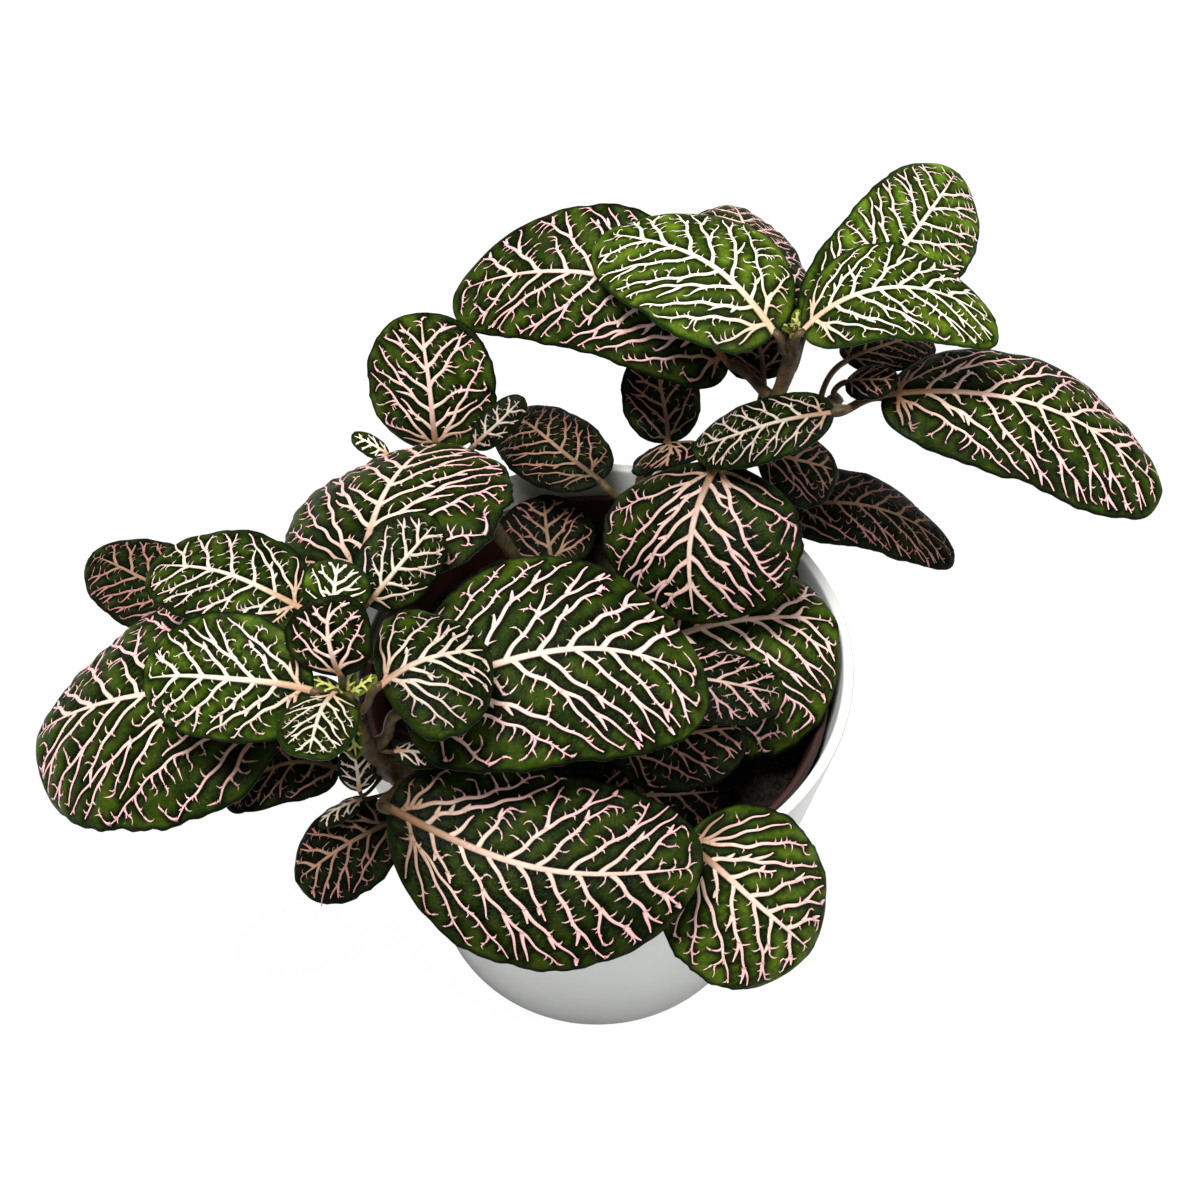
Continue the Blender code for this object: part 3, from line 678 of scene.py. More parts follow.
# %% Veins on the sheet
VEIN_RISE = (0.34, 0.2, 0.16, 0.14)
VEIN_SINK = 0.01
ROUND_SECTION = ((-1, -0.6, 0, 0.6, 1, 0), (0, 0.75, 1, 0.75, 0, -0.8), (1, 0.4, 0, 0.4, 1, 0))
FLAT_SECTION = ((-1, 0, 1), (0, 1, 0), (1, 0, 1))


def height_on(leaf, surface, x, y):
    """The height of the finished sheet at flat points, read between its rows and columns."""
    t, v, top = surface
    row = np.interp(x / leaf.length, t, np.arange(len(t)))
    width = np.maximum(half_width(leaf, x / leaf.length), LEAST_HALF_WIDTH)
    column = np.interp(np.clip(y / width, -1, 1), v, np.arange(len(v)))
    i = np.minimum(row.astype(int), len(t) - 2)
    j = np.minimum(column.astype(int), len(v) - 2)
    a, b = row - i, column - j
    return ((1 - a) * (1 - b) * top[i, j] + (1 - a) * b * top[i, j + 1]
            + a * (1 - b) * top[i + 1, j] + a * b * top[i + 1, j + 1])


def add_veins(build, leaf, veins, surface):
    """Closed strips that lie on the sheet; rib and side veins have a rounder section."""
    for vein in veins:
        points = vein.points
        heading = np.gradient(points, axis=0)
        heading /= np.maximum(np.linalg.norm(heading, axis=1), 1e-9)[:, None]
        across = np.column_stack((-heading[:, 1], heading[:, 0]))
        rise = VEIN_RISE[vein.level] * (0.45 + 0.55 * vein.widths / vein.widths.max())
        section = ROUND_SECTION if vein.level < 2 else FLAT_SECTION
        spots, heights, rims = (np.array(a, float) for a in section)
        size = len(spots)
        flat = points[:, None, :] + across[:, None, :] * (spots[None, :] * vein.widths[:, None])[..., None]
        lift = height_on(leaf, surface, flat[..., 0], flat[..., 1]) - VEIN_SINK
        lift = lift + heights[None, :] * rise[:, None] + 0.008 * (3 - vein.level)
        solid = on_blade(leaf, flat[..., 0], flat[..., 1], lift).reshape(-1, 3)
        rings = len(points)
        faces = ring_faces(rings, size)
        warmth = np.repeat(vein.warmth, size)
        along = np.repeat(vein.along, size)
        rim = np.tile(rims, rings)
        ends = np.vstack((solid[:size].mean(0), solid[-size:].mean(0)))
        start = build.size
        build.add(np.vstack((solid, ends)), faces[:, ::-1], 2, rim=np.append(rim, (0.5, 0.5)),
                  warmth=np.append(warmth, (vein.warmth[0], vein.warmth[-1])),
                  along=np.append(along, (vein.along[0], vein.along[-1])))
        j = np.arange(size)
        after = (j + 1) % size
        first = rings * size
        last = first - size
        caps = np.vstack((np.stack((np.full(size, first), j, after), -1),
                          np.stack((np.full(size, first + 1), last + after, last + j), -1)))
        build.more(caps[:, ::-1], 2, start)


print("rise of rib, side veins, branches and barbs", VEIN_RISE, "mm")

# %% [markdown]
# A stalk leaves its stem square, curves up and meets the blade in line with the rib, so it is swept
# along a cubic curve with those two directions. Rings are carried back from the blade with the least
# twist. Beyond the blade's foot the stalk thins out under the rib.

# %% Stalks
STALK_ROOT = 0.3
STALK_PULL = 0.4
STALK_SIDES = 12
STALK_RINGS = 14
UNDER_RIB = ((1.5, 0.85), (4.0, 0.6), (8.0, 0.38), (13.0, 0.2))


def stem_at(rows, height):
    """Centre, radius and direction of a stem at a height."""
    for low, high in zip(rows, rows[1:]):
        if height <= high[2] or high is rows[-1]:
            share = min(max((height - low[2]) / (high[2] - low[2]), 0.0), 1.0)
            a, b = np.array(low, float), np.array(high, float)
            spot = a + (b - a) * share
            return spot[:3], spot[3], unit((b - a)[:3])
    return None


def add_stalk(build, leaf):
    spot, radius, axis = stem_at(STEMS[leaf.stem], leaf.node)
    base = np.array(leaf.base, float)
    outwards = base - spot
    outwards = unit(outwards - axis * outwards.dot(axis))
    start = spot + outwards * (radius - STALK_ROOT)
    along, side, normal = blade_axes(leaf)
    climb = math.radians(leaf.droop) / 2
    arrive = along * math.cos(climb) + normal * math.sin(climb)
    pull = np.linalg.norm(base - start) * STALK_PULL
    near, far = start + outwards * pull, base - arrive * pull
    rings = []
    right = side
    turns = np.array([math.pi - 2 * math.pi * j / STALK_SIDES for j in range(STALK_SIDES)])
    for k in reversed(range(STALK_RINGS + 1)):
        u = k / STALK_RINGS
        w = 1 - u
        point = w ** 3 * start + 3 * u * w * w * near + 3 * u * u * w * far + u ** 3 * base
        onwards = unit(3 * w * w * (near - start) + 6 * u * w * (far - near) + 3 * u * u * (base - far))
        right = unit(right - onwards * right.dot(onwards))
        up = np.cross(right, onwards)
        thick = leaf.stalk * (1 + 0.35 * math.exp(-u * 9))
        ring = point + thick * (np.outer(np.cos(turns), right) + 0.9 * np.outer(np.sin(turns), up))
        rings.insert(0, ring)
    for x, shrink in UNDER_RIB:
        x = min(x, leaf.length * 0.4)
        thick = leaf.stalk * shrink
        lift = 0.9 * thick * np.sin(turns) - 0.75 * thick
        rings.append(on_blade(leaf, np.full(STALK_SIDES, x), thick * np.cos(turns), lift))
    points = np.array(rings).reshape(-1, 3)
    faces = ring_faces(len(rings), STALK_SIDES)
    share = np.repeat(np.linspace(0, 1, len(rings)), STALK_SIDES)
    first = build.size
    build.add(points, faces, 3, along=share)
    build.close_tube(first, len(rings), STALK_SIDES, 3)


print("west stem at its centre leaf", np.round(stem_at(STEMS["stem_west"], LEAVES["leaf_centre"].node)[0], 1))

# %% [markdown]
# ## Colours and finishes
# Colours are easiest to judge as screen values, so a small helper turns them into the linear
# values that shaders work in. Effects that several finishes share, such as mottling and leathery
# grain, are shader groups with named sockets: built once and placed with their own values.

# %% Colours and nodes
def screen(red, green, blue):
    """Linear colour from screen values of 0 to 255."""
    def one(value):
        value = value / 255
        return value / 12.92 if value <= 0.04045 else ((value + 0.055) / 1.055) ** 2.4
    return one(red), one(green), one(blue), 1.0


def new_group(name, inputs, outputs):
    group = bpy.data.node_groups.new(name, "ShaderNodeTree")
    for label, kind, value in inputs:
        socket = group.interface.new_socket(name=label, in_out="INPUT", socket_type="NodeSocket" + kind)
        if value is not None:
            socket.default_value = value
    for label, kind in outputs:
        group.interface.new_socket(name=label, in_out="OUTPUT", socket_type="NodeSocket" + kind)
    return group, group.nodes.new("NodeGroupInput"), group.nodes.new("NodeGroupOutput")


def node(tree, kind, settings=None, **values):
    """Add a node, set its options and its unlinked sockets by name."""
    made = tree.nodes.new("ShaderNode" + kind)
    for label, value in (settings or {}).items():
        setattr(made, label, value)
    for label, value in values.items():
        made.inputs[label.replace("_", " ")].default_value = value
    return made


def blend_colours(tree, factor, first, second, mode="MIX"):
    mixer = tree.nodes.new("ShaderNodeMix")
    mixer.data_type = "RGBA"
    mixer.blend_type = mode
    for socket, source in ((mixer.inputs[0], factor), (mixer.inputs[6], first), (mixer.inputs[7], second)):
        if isinstance(source, (tuple, float, int)):
            socket.default_value = source
        else:
            tree.links.new(source, socket)
    return mixer.outputs[2]


def mapped(tree, source, low, high, out_low=0.0, out_high=1.0):
    mapper = node(tree, "MapRange", {"interpolation_type": "SMOOTHSTEP"})
    tree.links.new(source, mapper.inputs["Value"])
    for label, value in (("From Min", low), ("From Max", high), ("To Min", out_low), ("To Max", out_high)):
        mapper.inputs[label].default_value = value
    return mapper.outputs["Result"]


print("screen value 128 is", round(screen(128, 128, 128)[0], 3), "in linear light")

# %% [markdown]
# Two effects serve many finishes, so each is a group. Mottle blends two colours with soft noise, as
# sap and light never colour a leaf evenly. Grain gives a height from cells and fine noise.

# %% Shader groups
def make_mottle():
    """Two scales of soft noise that mix two colours."""
    group, taken, given = new_group("mottle", [("Dark", "Color", None), ("Light", "Color", None),
                                               ("Scale", "Float", 200.0)], [("Color", "Color")])
    place = node(group, "TexCoord")
    wide = node(group, "TexNoise", Detail=4.0, Roughness=0.6)
    group.links.new(place.outputs["Object"], wide.inputs["Vector"])
    group.links.new(taken.outputs["Scale"], wide.inputs["Scale"])
    mask = mapped(group, wide.outputs["Fac"], 0.3, 0.7)
    mixed = blend_colours(group, mask, taken.outputs["Dark"], taken.outputs["Light"])
    group.links.new(mixed, given.inputs["Color"])
    return group


def make_grain():
    """Fine leathery cells and pores as a height."""
    group, taken, given = new_group("leathery_grain", [("Scale", "Float", 1500.0), ("Pores", "Float", 0.5)],
                                    [("Height", "Float")])
    place = node(group, "TexCoord")
    cells = node(group, "TexVoronoi", {"feature": "SMOOTH_F1"})
    fine = node(group, "TexNoise", Detail=3.0)
    for texture in (cells, fine):
        group.links.new(place.outputs["Object"], texture.inputs["Vector"])
        group.links.new(taken.outputs["Scale"], texture.inputs["Scale"])
    both = node(group, "Math", {"operation": "MULTIPLY_ADD"})
    group.links.new(cells.outputs["Distance"], both.inputs[0])
    group.links.new(taken.outputs["Pores"], both.inputs[1])
    group.links.new(fine.outputs["Fac"], both.inputs[2])
    group.links.new(both.outputs[0], given.inputs["Height"])
    return group


MOTTLE = make_mottle()
GRAIN = make_grain()
print("shader groups", [group.name for group in bpy.data.node_groups])

# %% [markdown]
# A finish is a material with a roughness and gloss of its own, and the grain lifts its surface as a
# bump. Plain skins need only mottle and grain, so one helper makes them all.

# %% Helpers for finishes
def new_material(name, roughness, specular=0.5):
    material = bpy.data.materials.new(name)
    material.use_nodes = True
    shader = material.node_tree.nodes["Principled BSDF"]
    shader.inputs["Roughness"].default_value = roughness
    shader.inputs["Specular IOR Level"].default_value = specular
    return material, material.node_tree, shader


def place_group(tree, group, **values):
    made = tree.nodes.new("ShaderNodeGroup")
    made.node_tree = group
    for label, value in values.items():
        made.inputs[label].default_value = value
    return made


def read(tree, label):
    source = tree.nodes.new("ShaderNodeAttribute")
    source.attribute_name = label
    return source.outputs["Fac"]


def add_grain(tree, shader, scale, pores, strength, distance):
    grain = place_group(tree, GRAIN, Scale=scale, Pores=pores)
    bump = node(tree, "Bump", Strength=strength, Distance=distance)
    tree.links.new(grain.outputs["Height"], bump.inputs["Height"])
    tree.links.new(bump.outputs["Normal"], shader.inputs["Normal"])


def mottled_finish(name, dark, light, spots, roughness, specular, grain):
    """A plain finish: mottle for the colour and grain (scale, pores, strength, distance) for the bump."""
    material, tree, shader = new_material(name, roughness, specular)
    mottle = place_group(tree, MOTTLE, Dark=dark, Light=light, Scale=spots)
    tree.links.new(mottle.outputs["Color"], shader.inputs["Base Color"])
    add_grain(tree, shader, *grain)
    return material


print("groups for the finishes:", MOTTLE.name, "and", GRAIN.name)

# %% [markdown]
# ## Leaf, vein and stalk finishes
# A mature sheet is a deep green with a satin gloss and a darker rim. Young sheets are brighter. The
# puffed cells between the veins catch a little more light than the grooves, so painted shade darkens
# the grooves: the distance to the nearest vein, kept on every vertex, drives the colour. More painted
# shade darkens each sheet towards its stalk.

# %% Leaf finishes
def leaf_finish(name, deep, fresh, rim, roughness):
    material, tree, shader = new_material(name, roughness, 0.04)
    mottle = place_group(tree, MOTTLE, Dark=deep, Light=fresh, Scale=95.0)
    # Painted shade: the sheet darkens to a twelfth of its deep green in the grooves next to the veins.
    groove = mapped(tree, read(tree, "gap"), 0.0, 2.0)
    shade = tuple(c * 0.12 for c in deep[:3]) + (1.0,)
    toned = blend_colours(tree, groove, shade, mottle.outputs["Color"])
    # Painted shade: the sheet darkens to half towards its stalk.
    painted_stalk_shade = mapped(tree, read(tree, "along"), 0.0, 0.45, 0.5, 1.0)
    toned = blend_colours(tree, 1.0, toned, painted_stalk_shade, "MULTIPLY")
    # The tone scales each sheet: partly its own green, partly painted light and shade.
    toned = blend_colours(tree, 1.0, toned, read(tree, "tone_and_lighting"), "MULTIPLY")
    flecks = place_group(tree, MOTTLE, Dark=(0.72, 0.72, 0.72, 1.0), Light=(1.12, 1.12, 1.0, 1.0),
                         Scale=900.0)
    toned = blend_colours(tree, 1.0, toned, flecks.outputs["Color"], "MULTIPLY")
    margin = mapped(tree, read(tree, "edge"), 0.15, 1.4)
    tree.links.new(blend_colours(tree, margin, rim, toned), shader.inputs["Base Color"])
    add_grain(tree, shader, 1500.0, 0.6, 0.45, 0.0007)
    return material


def under_finish(name, pale, deep):
    material, tree, shader = new_material(name, 0.6, 0.3)
    mottle = place_group(tree, MOTTLE, Dark=deep, Light=pale, Scale=260.0)
    ribs = mapped(tree, read(tree, "gap"), 0.0, 0.7)
    colour = blend_colours(tree, ribs, screen(150, 122, 100), mottle.outputs["Color"])
    tree.links.new(colour, shader.inputs["Base Color"])
    add_grain(tree, shader, 1100.0, 0.9, 0.3, 0.0003)
    return material


def vein_finish(name, core, flesh, bright, border):
    """Brown-pink at the stalk, cream next, clear pink outwards, with a soft greenish border."""
    material, tree, shader = new_material(name, 0.55, 0.25)
    warmth = read(tree, "warmth")
    inner = blend_colours(tree, mapped(tree, warmth, 0.0, 0.34), core, flesh)
    inner = blend_colours(tree, mapped(tree, warmth, 0.4, 1.0), inner, bright)
    inner = blend_colours(tree, mapped(tree, read(tree, "along"), 0.0, 0.3), core, inner)
    edge = mapped(tree, read(tree, "rim"), 0.35, 1.15)
    colour = blend_colours(tree, edge, inner, border)
    mottle = place_group(tree, MOTTLE, Dark=(0.8, 0.8, 0.8, 1.0), Light=(1.0, 1.0, 1.0, 1.0), Scale=700.0)
    colour = blend_colours(tree, 1.0, colour, mottle.outputs["Color"], "MULTIPLY")
    # Painted shade: a low tone darkens the veins too, down to half.
    vein_shade = mapped(tree, read(tree, "tone_and_lighting"), 0.3, 1.0, 0.5, 1.0)
    colour = blend_colours(tree, 1.0, colour, vein_shade, "MULTIPLY")
    tree.links.new(colour, shader.inputs["Base Color"])
    add_grain(tree, shader, 2200.0, 0.4, 0.2, 0.0002)
    return material


def stalk_finish(name, dark, light):
    return mottled_finish(name, dark, light, 420.0, 0.55, 0.3, (1300.0, 0.8, 0.35, 0.0003))


UNDER = under_finish("leaf_underside", screen(78, 90, 58), screen(54, 66, 40))
STALK = stalk_finish("stalk_skin", screen(44, 32, 16), screen(84, 66, 34))
print("made", UNDER.name, "and", STALK.name)

# %% [markdown]
# The palette gives each age its sheet (deep, light and margin green, roughness) and its veins (at the
# stalk, cream part, pink part and soft border). Buds have margins as light as the rest.

# %% Palette of the leaves
SHEETS = {
    "mature": leaf_finish("mature_sheet", screen(24, 37, 6), screen(54, 71, 13), screen(6, 12, 3), 0.4),
    # The shaded sheet and veins are darker: partly their own colour, partly painted shade.
    "shaded": leaf_finish("shaded_sheet", screen(12, 19, 5), screen(30, 41, 11), screen(5, 8, 3), 0.46),
    "fresh": leaf_finish("fresh_sheet", screen(34, 52, 8), screen(72, 95, 18), screen(10, 20, 5), 0.4),
    "young": leaf_finish("young_sheet", screen(50, 72, 10), screen(92, 115, 26), screen(15, 32, 7), 0.42),
    "bud": leaf_finish("bud_sheet", screen(74, 88, 18), screen(118, 130, 38), screen(84, 96, 24), 0.5),
}
VEINS = {
    "mature": vein_finish("pink_veins", screen(128, 88, 52), screen(240, 205, 187), screen(248, 190, 190),
                          screen(122, 108, 70)),
    "shaded": vein_finish("shade_darkened_veins", screen(78, 60, 36), screen(150, 118, 92), screen(170, 116, 108),
                          screen(56, 54, 30)),
    "fresh": vein_finish("cream_pink_veins", screen(190, 148, 116), screen(244, 224, 202),
                         screen(244, 208, 200), screen(140, 142, 88)),
    "young": vein_finish("cream_veins", screen(208, 170, 140), screen(244, 230, 206), screen(246, 226, 210),
                         screen(150, 158, 92)),
    "bud": vein_finish("bud_veins", screen(140, 146, 62), screen(178, 180, 96), screen(190, 186, 110),
                       screen(110, 120, 44)),
}
print("materials", len(bpy.data.materials))

# %% [markdown]
# ## Build every leaf
# One loop makes all forty: it grows the veins, bends the sheet, lays the veins on it, adds the stalk,
# hangs the new piece on the root and hides the solid it replaces.

# %% Leaves
def build_leaf(build, leaf, rng, with_stalk=True):
    veins = grow_veins(leaf, rng)
    surface = add_sheet(build, leaf, veins, rng)
    add_veins(build, leaf, veins, surface)
    if with_stalk:
        add_stalk(build, leaf)


LEAF_SEED = 100
LEAF_VALUES = ("gap", "edge", "along", "warmth", "rim", "tone_and_lighting")
for number, (name, leaf) in enumerate(LEAVES.items()):
    short = name.replace("leaf_", "")
    build = Mesh(LEAF_VALUES, tone_and_lighting=TONES_AND_LIGHTING.get(short, 1.0))
    build_leaf(build, leaf, np.random.default_rng(LEAF_SEED + number))
    age = age_of(short)
    piece = build.build("blade_" + short, [SHEETS[age], UNDER, VEINS[age], STALK])
    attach(piece, "root")
    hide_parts(name)

# %% [markdown]
# ## Buds and tiny leaves
# Each crown ends in a bud of unfolding yellow-green leaves, and a few tiny leaves sit lower on
# the left stem. They are too small for solids of their own, so they are only made here, from the same
# blade as the others.

# %% Buds
BUDS = {
    "west_bud": ("bud", (
        Leaf((-54, -53, 180), 165, 22, 8, 4.5, 0, 30, 30, 0, "stem_west", 180, 0.4),
        Leaf((-52.4, -53, 180), 22, 26, 7, 4, 0, 30, 30, 0, "stem_west", 180, 0.4),
        Leaf((-53, -52.6, 180.5), 88, 50, 6, 4, 0, 20, 40, 0, "stem_west", 180, 0.4),
        Leaf((-53, -56, 176), -78, -36, 9.5, 5, 0, 20, 50, 0, "stem_west", 176, 0.5),
        Leaf((-54, -56, 171.5), -150, -14, 7, 4.5, 10, 30, 30, 0, "stem_west", 172, 0.5))),
    "west_sprouts": ("fresh", (
        Leaf((-53.6, -56.5, 146), 98, 58, 12, 9, 0, 30, 20, 0, "stem_west", 143, 0.5),
        Leaf((-53.5, -55, 140), -155, -16, 12, 8, 25, 40, 40, 0, "stem_west", 137, 0.5),
        Leaf((-45.5, -53, 157), 6, -18, 12, 8, 0, 30, 40, 0, "stem_west", 157, 0.5))),
    "east_bud": ("bud", (
        Leaf((46.6, 39.6, 195.4), 175, 38, 5, 3, 0, 40, 40, 0, "stem_east", 193, 0.4),
        Leaf((47.4, 39.6, 195.4), -35, 34, 5, 3, 0, 40, 40, 0, "stem_east", 193, 0.4),
        Leaf((47, 39.2, 195.4), -100, 30, 4.5, 3, 0, 30, 40, 0, "stem_east", 193, 0.4),
        Leaf((47, 40.4, 195.6), 80, 44, 5, 3, 0, 30, 40, 0, "stem_east", 193, 0.4),
        Leaf((47.2, 40, 196), 30, 56, 4, 2.4, 0, 20, 60, 0, "stem_east", 193, 0.4),
        Leaf((46.8, 40, 196), -140, 58, 4, 2.4, 0, 20, 60, 0, "stem_east", 193, 0.4))),
}
BUD_SEED = 200
LEAST_STALKED = 8
for number, (name, (age, leaflets)) in enumerate(BUDS.items()):
    build = Mesh(LEAF_VALUES, tone_and_lighting=1.0)
    for k, leaf in enumerate(leaflets):
        rng = np.random.default_rng(BUD_SEED + 10 * number + k)
        build_leaf(build, leaf, rng, with_stalk=leaf.length > LEAST_STALKED)
    piece = build.build(name, [SHEETS[age], UNDER, VEINS[age], STALK])
    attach(piece, "root")
print("buds", len(BUDS))

# %% [markdown]
# ## Stems
# The stems are soft, a little uneven, swollen at each leaf node and covered in short hairs. A smooth
# curve through the plan's points, swept as a tube with many rings, keeps them on their solids.

# %% Tubes
STEM_SIDES = 14
STEM_RINGS = 60
UNEVEN = 0.02


def smooth_path(rows, count):
    """A rounded path through the rows, with its radius, as count points."""
    rows = np.array(rows, float)
    reach = np.concatenate(([0.0], np.cumsum(np.linalg.norm(np.diff(rows[:, :3], axis=0), axis=1))))
    places = np.linspace(0, reach[-1], count)
    path = np.column_stack([np.interp(places, reach, rows[:, c]) for c in range(4)])
    for _ in range(6):
        path[1:-1] = (path[:-2] + 2 * path[1:-1] + path[2:]) / 4
    return path


def add_tube(build, path, slot, sides, uneven):
    """Sweep a slightly uneven round section along a path, and return its points and normals."""
    away = np.array((0.0, 1.0, 0.0))
    rings = []
    normals = []
    for k, row in enumerate(path):
        onwards = unit(path[min(k + 1, len(path) - 1), :3] - path[max(k - 1, 0), :3])
        right = unit(np.cross(away, onwards))
        up = np.cross(onwards, right)
        for j in range(sides):
            angle = 2 * math.pi * j / sides
            out = right * math.cos(angle) + up * math.sin(angle)
            bump = 1 + uneven * (math.sin(3 * angle + k * 0.35) + 0.6 * math.sin(5 * angle - k * 0.22))
            rings.append(row[:3] + out * row[3] * bump)
            normals.append(out)
    start = build.size
    build.add(rings, ring_faces(len(path), sides), slot)
    build.close_tube(start, len(path), sides, slot)
    return np.array(rings), np.array(normals)


trial_path = smooth_path(STEMS["stem_west"], STEM_RINGS)
print("west stem, top of the path", np.round(trial_path[-1], 2))

# %% [markdown]
# Stems of this plant carry short pale hairs, which soften their outline against the light. Each is
# a spike of four faces that leans a little, which is enough at this size. They grow above the soil.

# %% Hairs
HAIRS = 160
HAIR_LENGTH = 1.0
HAIR_RADIUS = 0.05
HAIR_LEAN = 0.35
HAIR_ROOT = 0.1
SOIL_TOP = 102


def add_hairs(build, points, normals, slot, count, length, rng):
    """Short three-sided spikes that lean a little."""
    picks = rng.integers(0, len(points), count)
    for k in picks:
        out = unit(normals[k] + rng.normal(0, HAIR_LEAN, 3))
        side = unit(np.cross(out, (0.3, 0.5, 0.81)))
        up = np.cross(out, side)
        root = points[k] - out * HAIR_ROOT
        foot = [root + HAIR_RADIUS * (side * math.cos(a) + up * math.sin(a)) for a in (0, 2.09, 4.19)]
        tip = root + out * length * rng.uniform(0.6, 1.2)
        build.add(foot + [tip], [(0, 1, 3), (1, 2, 3), (2, 0, 3), (2, 1, 0)], slot)


STEM_SKIN = stalk_finish("stem_skin", screen(40, 28, 16), screen(78, 60, 30))
HAIR = stalk_finish("stem_hair", screen(120, 108, 74), screen(160, 148, 112))
print("hairs on each stem", HAIRS, "of about", HAIR_LENGTH, "mm")

# %% [markdown]
# A stem swells softly at each node, where leaves leave it. The swellings follow the plan: one for
# every leaf, at its own height.

# %% Stems with nodes
STEM_SEED = 300
SWELLING = 0.22
SWELLING_HEIGHT = 1.4
for number, (name, rows) in enumerate(STEMS.items()):
    rng = np.random.default_rng(STEM_SEED + number)
    build = Mesh(("along",))
    path = smooth_path(rows, STEM_RINGS)
    for leaf in LEAVES.values():
        if leaf.stem == name:
            path[:, 3] *= 1 + SWELLING * np.exp(-((path[:, 2] - leaf.node) / SWELLING_HEIGHT) ** 2)
    points, normals = add_tube(build, path, 0, STEM_SIDES, UNEVEN)
    free = points[:, 2] > SOIL_TOP
    add_hairs(build, points[free], normals[free], 1, HAIRS, HAIR_LENGTH, rng)
    piece = build.build(name.replace("stem_", "stalked_stem_"), [STEM_SKIN, HAIR])
    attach(piece, "root")
    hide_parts(name)

# %% [markdown]
# ## Pots and soil
# Pots are moulded round, so each is a profile turned about the axis, with many more sides than the
# solids. Corners are rounded first, as a moulded edge is never sharp and catches a line of light.

# %% Turned shapes
POT_SIDES = 160


def turned(build, profile, sides, slot, rough=None):
    """Turn a closed profile of (radius, height) that starts and ends on the axis."""
    angles = np.arange(sides) * 2 * math.pi / sides
    rings = []
    for radius, height in profile[1:-1]:
        lift = np.zeros(sides) if rough is None else rough(radius, angles)
        rings.append(np.column_stack((radius * np.cos(angles), radius * np.sin(angles), height + lift)))
    points = np.concatenate(rings)
    start = build.size
    rise = 0.0 if rough is None else float(rough(0.0, angles[:1])[0])
    ends = [(0.0, 0.0, profile[0][1]), (0.0, 0.0, profile[-1][1] + rise)]
    build.add(np.vstack((points, ends)), ring_faces(len(rings), sides), slot)
    j = np.arange(sides)
    after = (j + 1) % sides
    low = len(points)
    last = low - sides
    build.more(np.stack((np.full(sides, low), after, j), -1), slot, start)
    build.more(np.stack((np.full(sides, low + 1), last + j, last + after), -1), slot, start)


def rounded(profile, radius, steps=5):
    """Round each inner corner of a profile with a short arc."""
    out = [profile[0]]
    for k in range(1, len(profile) - 1):
        a, b, c = (np.array(profile[i], float) for i in (k - 1, k, k + 1))
        r = min(radius[k], np.linalg.norm(a - b) * 0.45, np.linalg.norm(c - b) * 0.45)
        if r <= 0:
            out.append(tuple(b))
            continue
        p, q = b + unit(a - b) * r, b + unit(c - b) * r
        for s in np.linspace(0, 1, steps):
            out.append(tuple((1 - s) ** 2 * p + 2 * s * (1 - s) * b + s * s * q))
    out.append(profile[-1])
    return out


print("a corner becomes", len(rounded([(0, 0), (5, 0), (5, 5)], [0, 1, 0])) - 2, "points")

# %% [markdown]
# The cover pot is smooth matt white and hardly mottled. The nursery pot is thin dark red-brown
# plastic with a lip. Radius and height of each corner come first, then how far it is rounded.

# %% Pots
COVER = mottled_finish("matt_white_pot", screen(204, 206, 203), screen(209, 211, 208), 30.0, 0.5, 0.3,
                       (2600.0, 0.5, 0.15, 0.0001))
NURSERY = mottled_finish("red_brown_plastic", screen(42, 22, 18), screen(62, 31, 26), 30.0, 0.42, 0.5,
                         (2600.0, 0.5, 0.2, 0.0001))
cover_profile = [(0, 0), (43.5, 0), (46.2, 0.5), (47.6, 3.5), (65.45, 118.8), (65.2, 119.5), (62.9, 119.5),
                 (62.6, 118.6), (45.0, 6.0), (43.0, 4.0), (0, 4.0)]
cover_round = [0, 1.0, 1.5, 1.5, 0.5, 0.5, 0.5, 0.5, 1.5, 1.5, 0]
nursery_profile = [(0, 4.3), (39.0, 4.3), (40.2, 5.4), (58.3, 107.0), (60.0, 108.0), (60.0, 111.9),
                   (59.7, 112.4), (58.4, 112.2), (57.2, 108.0), (39.0, 5.8), (0, 5.8)]
nursery_round = [0, 0.5, 0.5, 0.4, 0.4, 0.3, 0.3, 0.4, 0.8, 0.6, 0]
for name, profile, radii, material in (("cover_pot", cover_profile, cover_round, COVER),
                                       ("nursery_pot", nursery_profile, nursery_round, NURSERY)):
    build = Mesh(("along",))
    turned(build, rounded(profile, radii), POT_SIDES, 0)
    piece = build.build(name + "_turned", [material])
    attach(piece, "root")
    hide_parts(name)
print("pots", len(rounded(cover_profile, cover_round)), "rings")

# %% [markdown]
# Bare soil shows between the leaves. It is damp peat: nearly black, lumpy and strewn with crumbs. A
# domed disc is lifted by waves of several lengths, which stop short of the pot's wall.

# %% Soil
SOIL_RADIUS = 55.0
WALL = 55.5
DOME_RINGS = 34


def soil_rough(radius, angles):
    """Lift of the soil at a radius and some angles."""
    x, y = radius * np.cos(angles), radius * np.sin(angles)
    lumps = 0.7 * np.sin(x * 0.31 + 1.3 * np.sin(y * 0.23))
    lumps = lumps + 0.6 * np.sin(y * 0.37 + 1.7 * np.sin(x * 0.19 + 2))
    lumps += 0.35 * np.sin(x * 0.93 + y * 0.71) + 0.3 * np.sin(y * 1.27 - x * 0.57 + 1)
    return lumps * 0.6 * (radius < WALL)


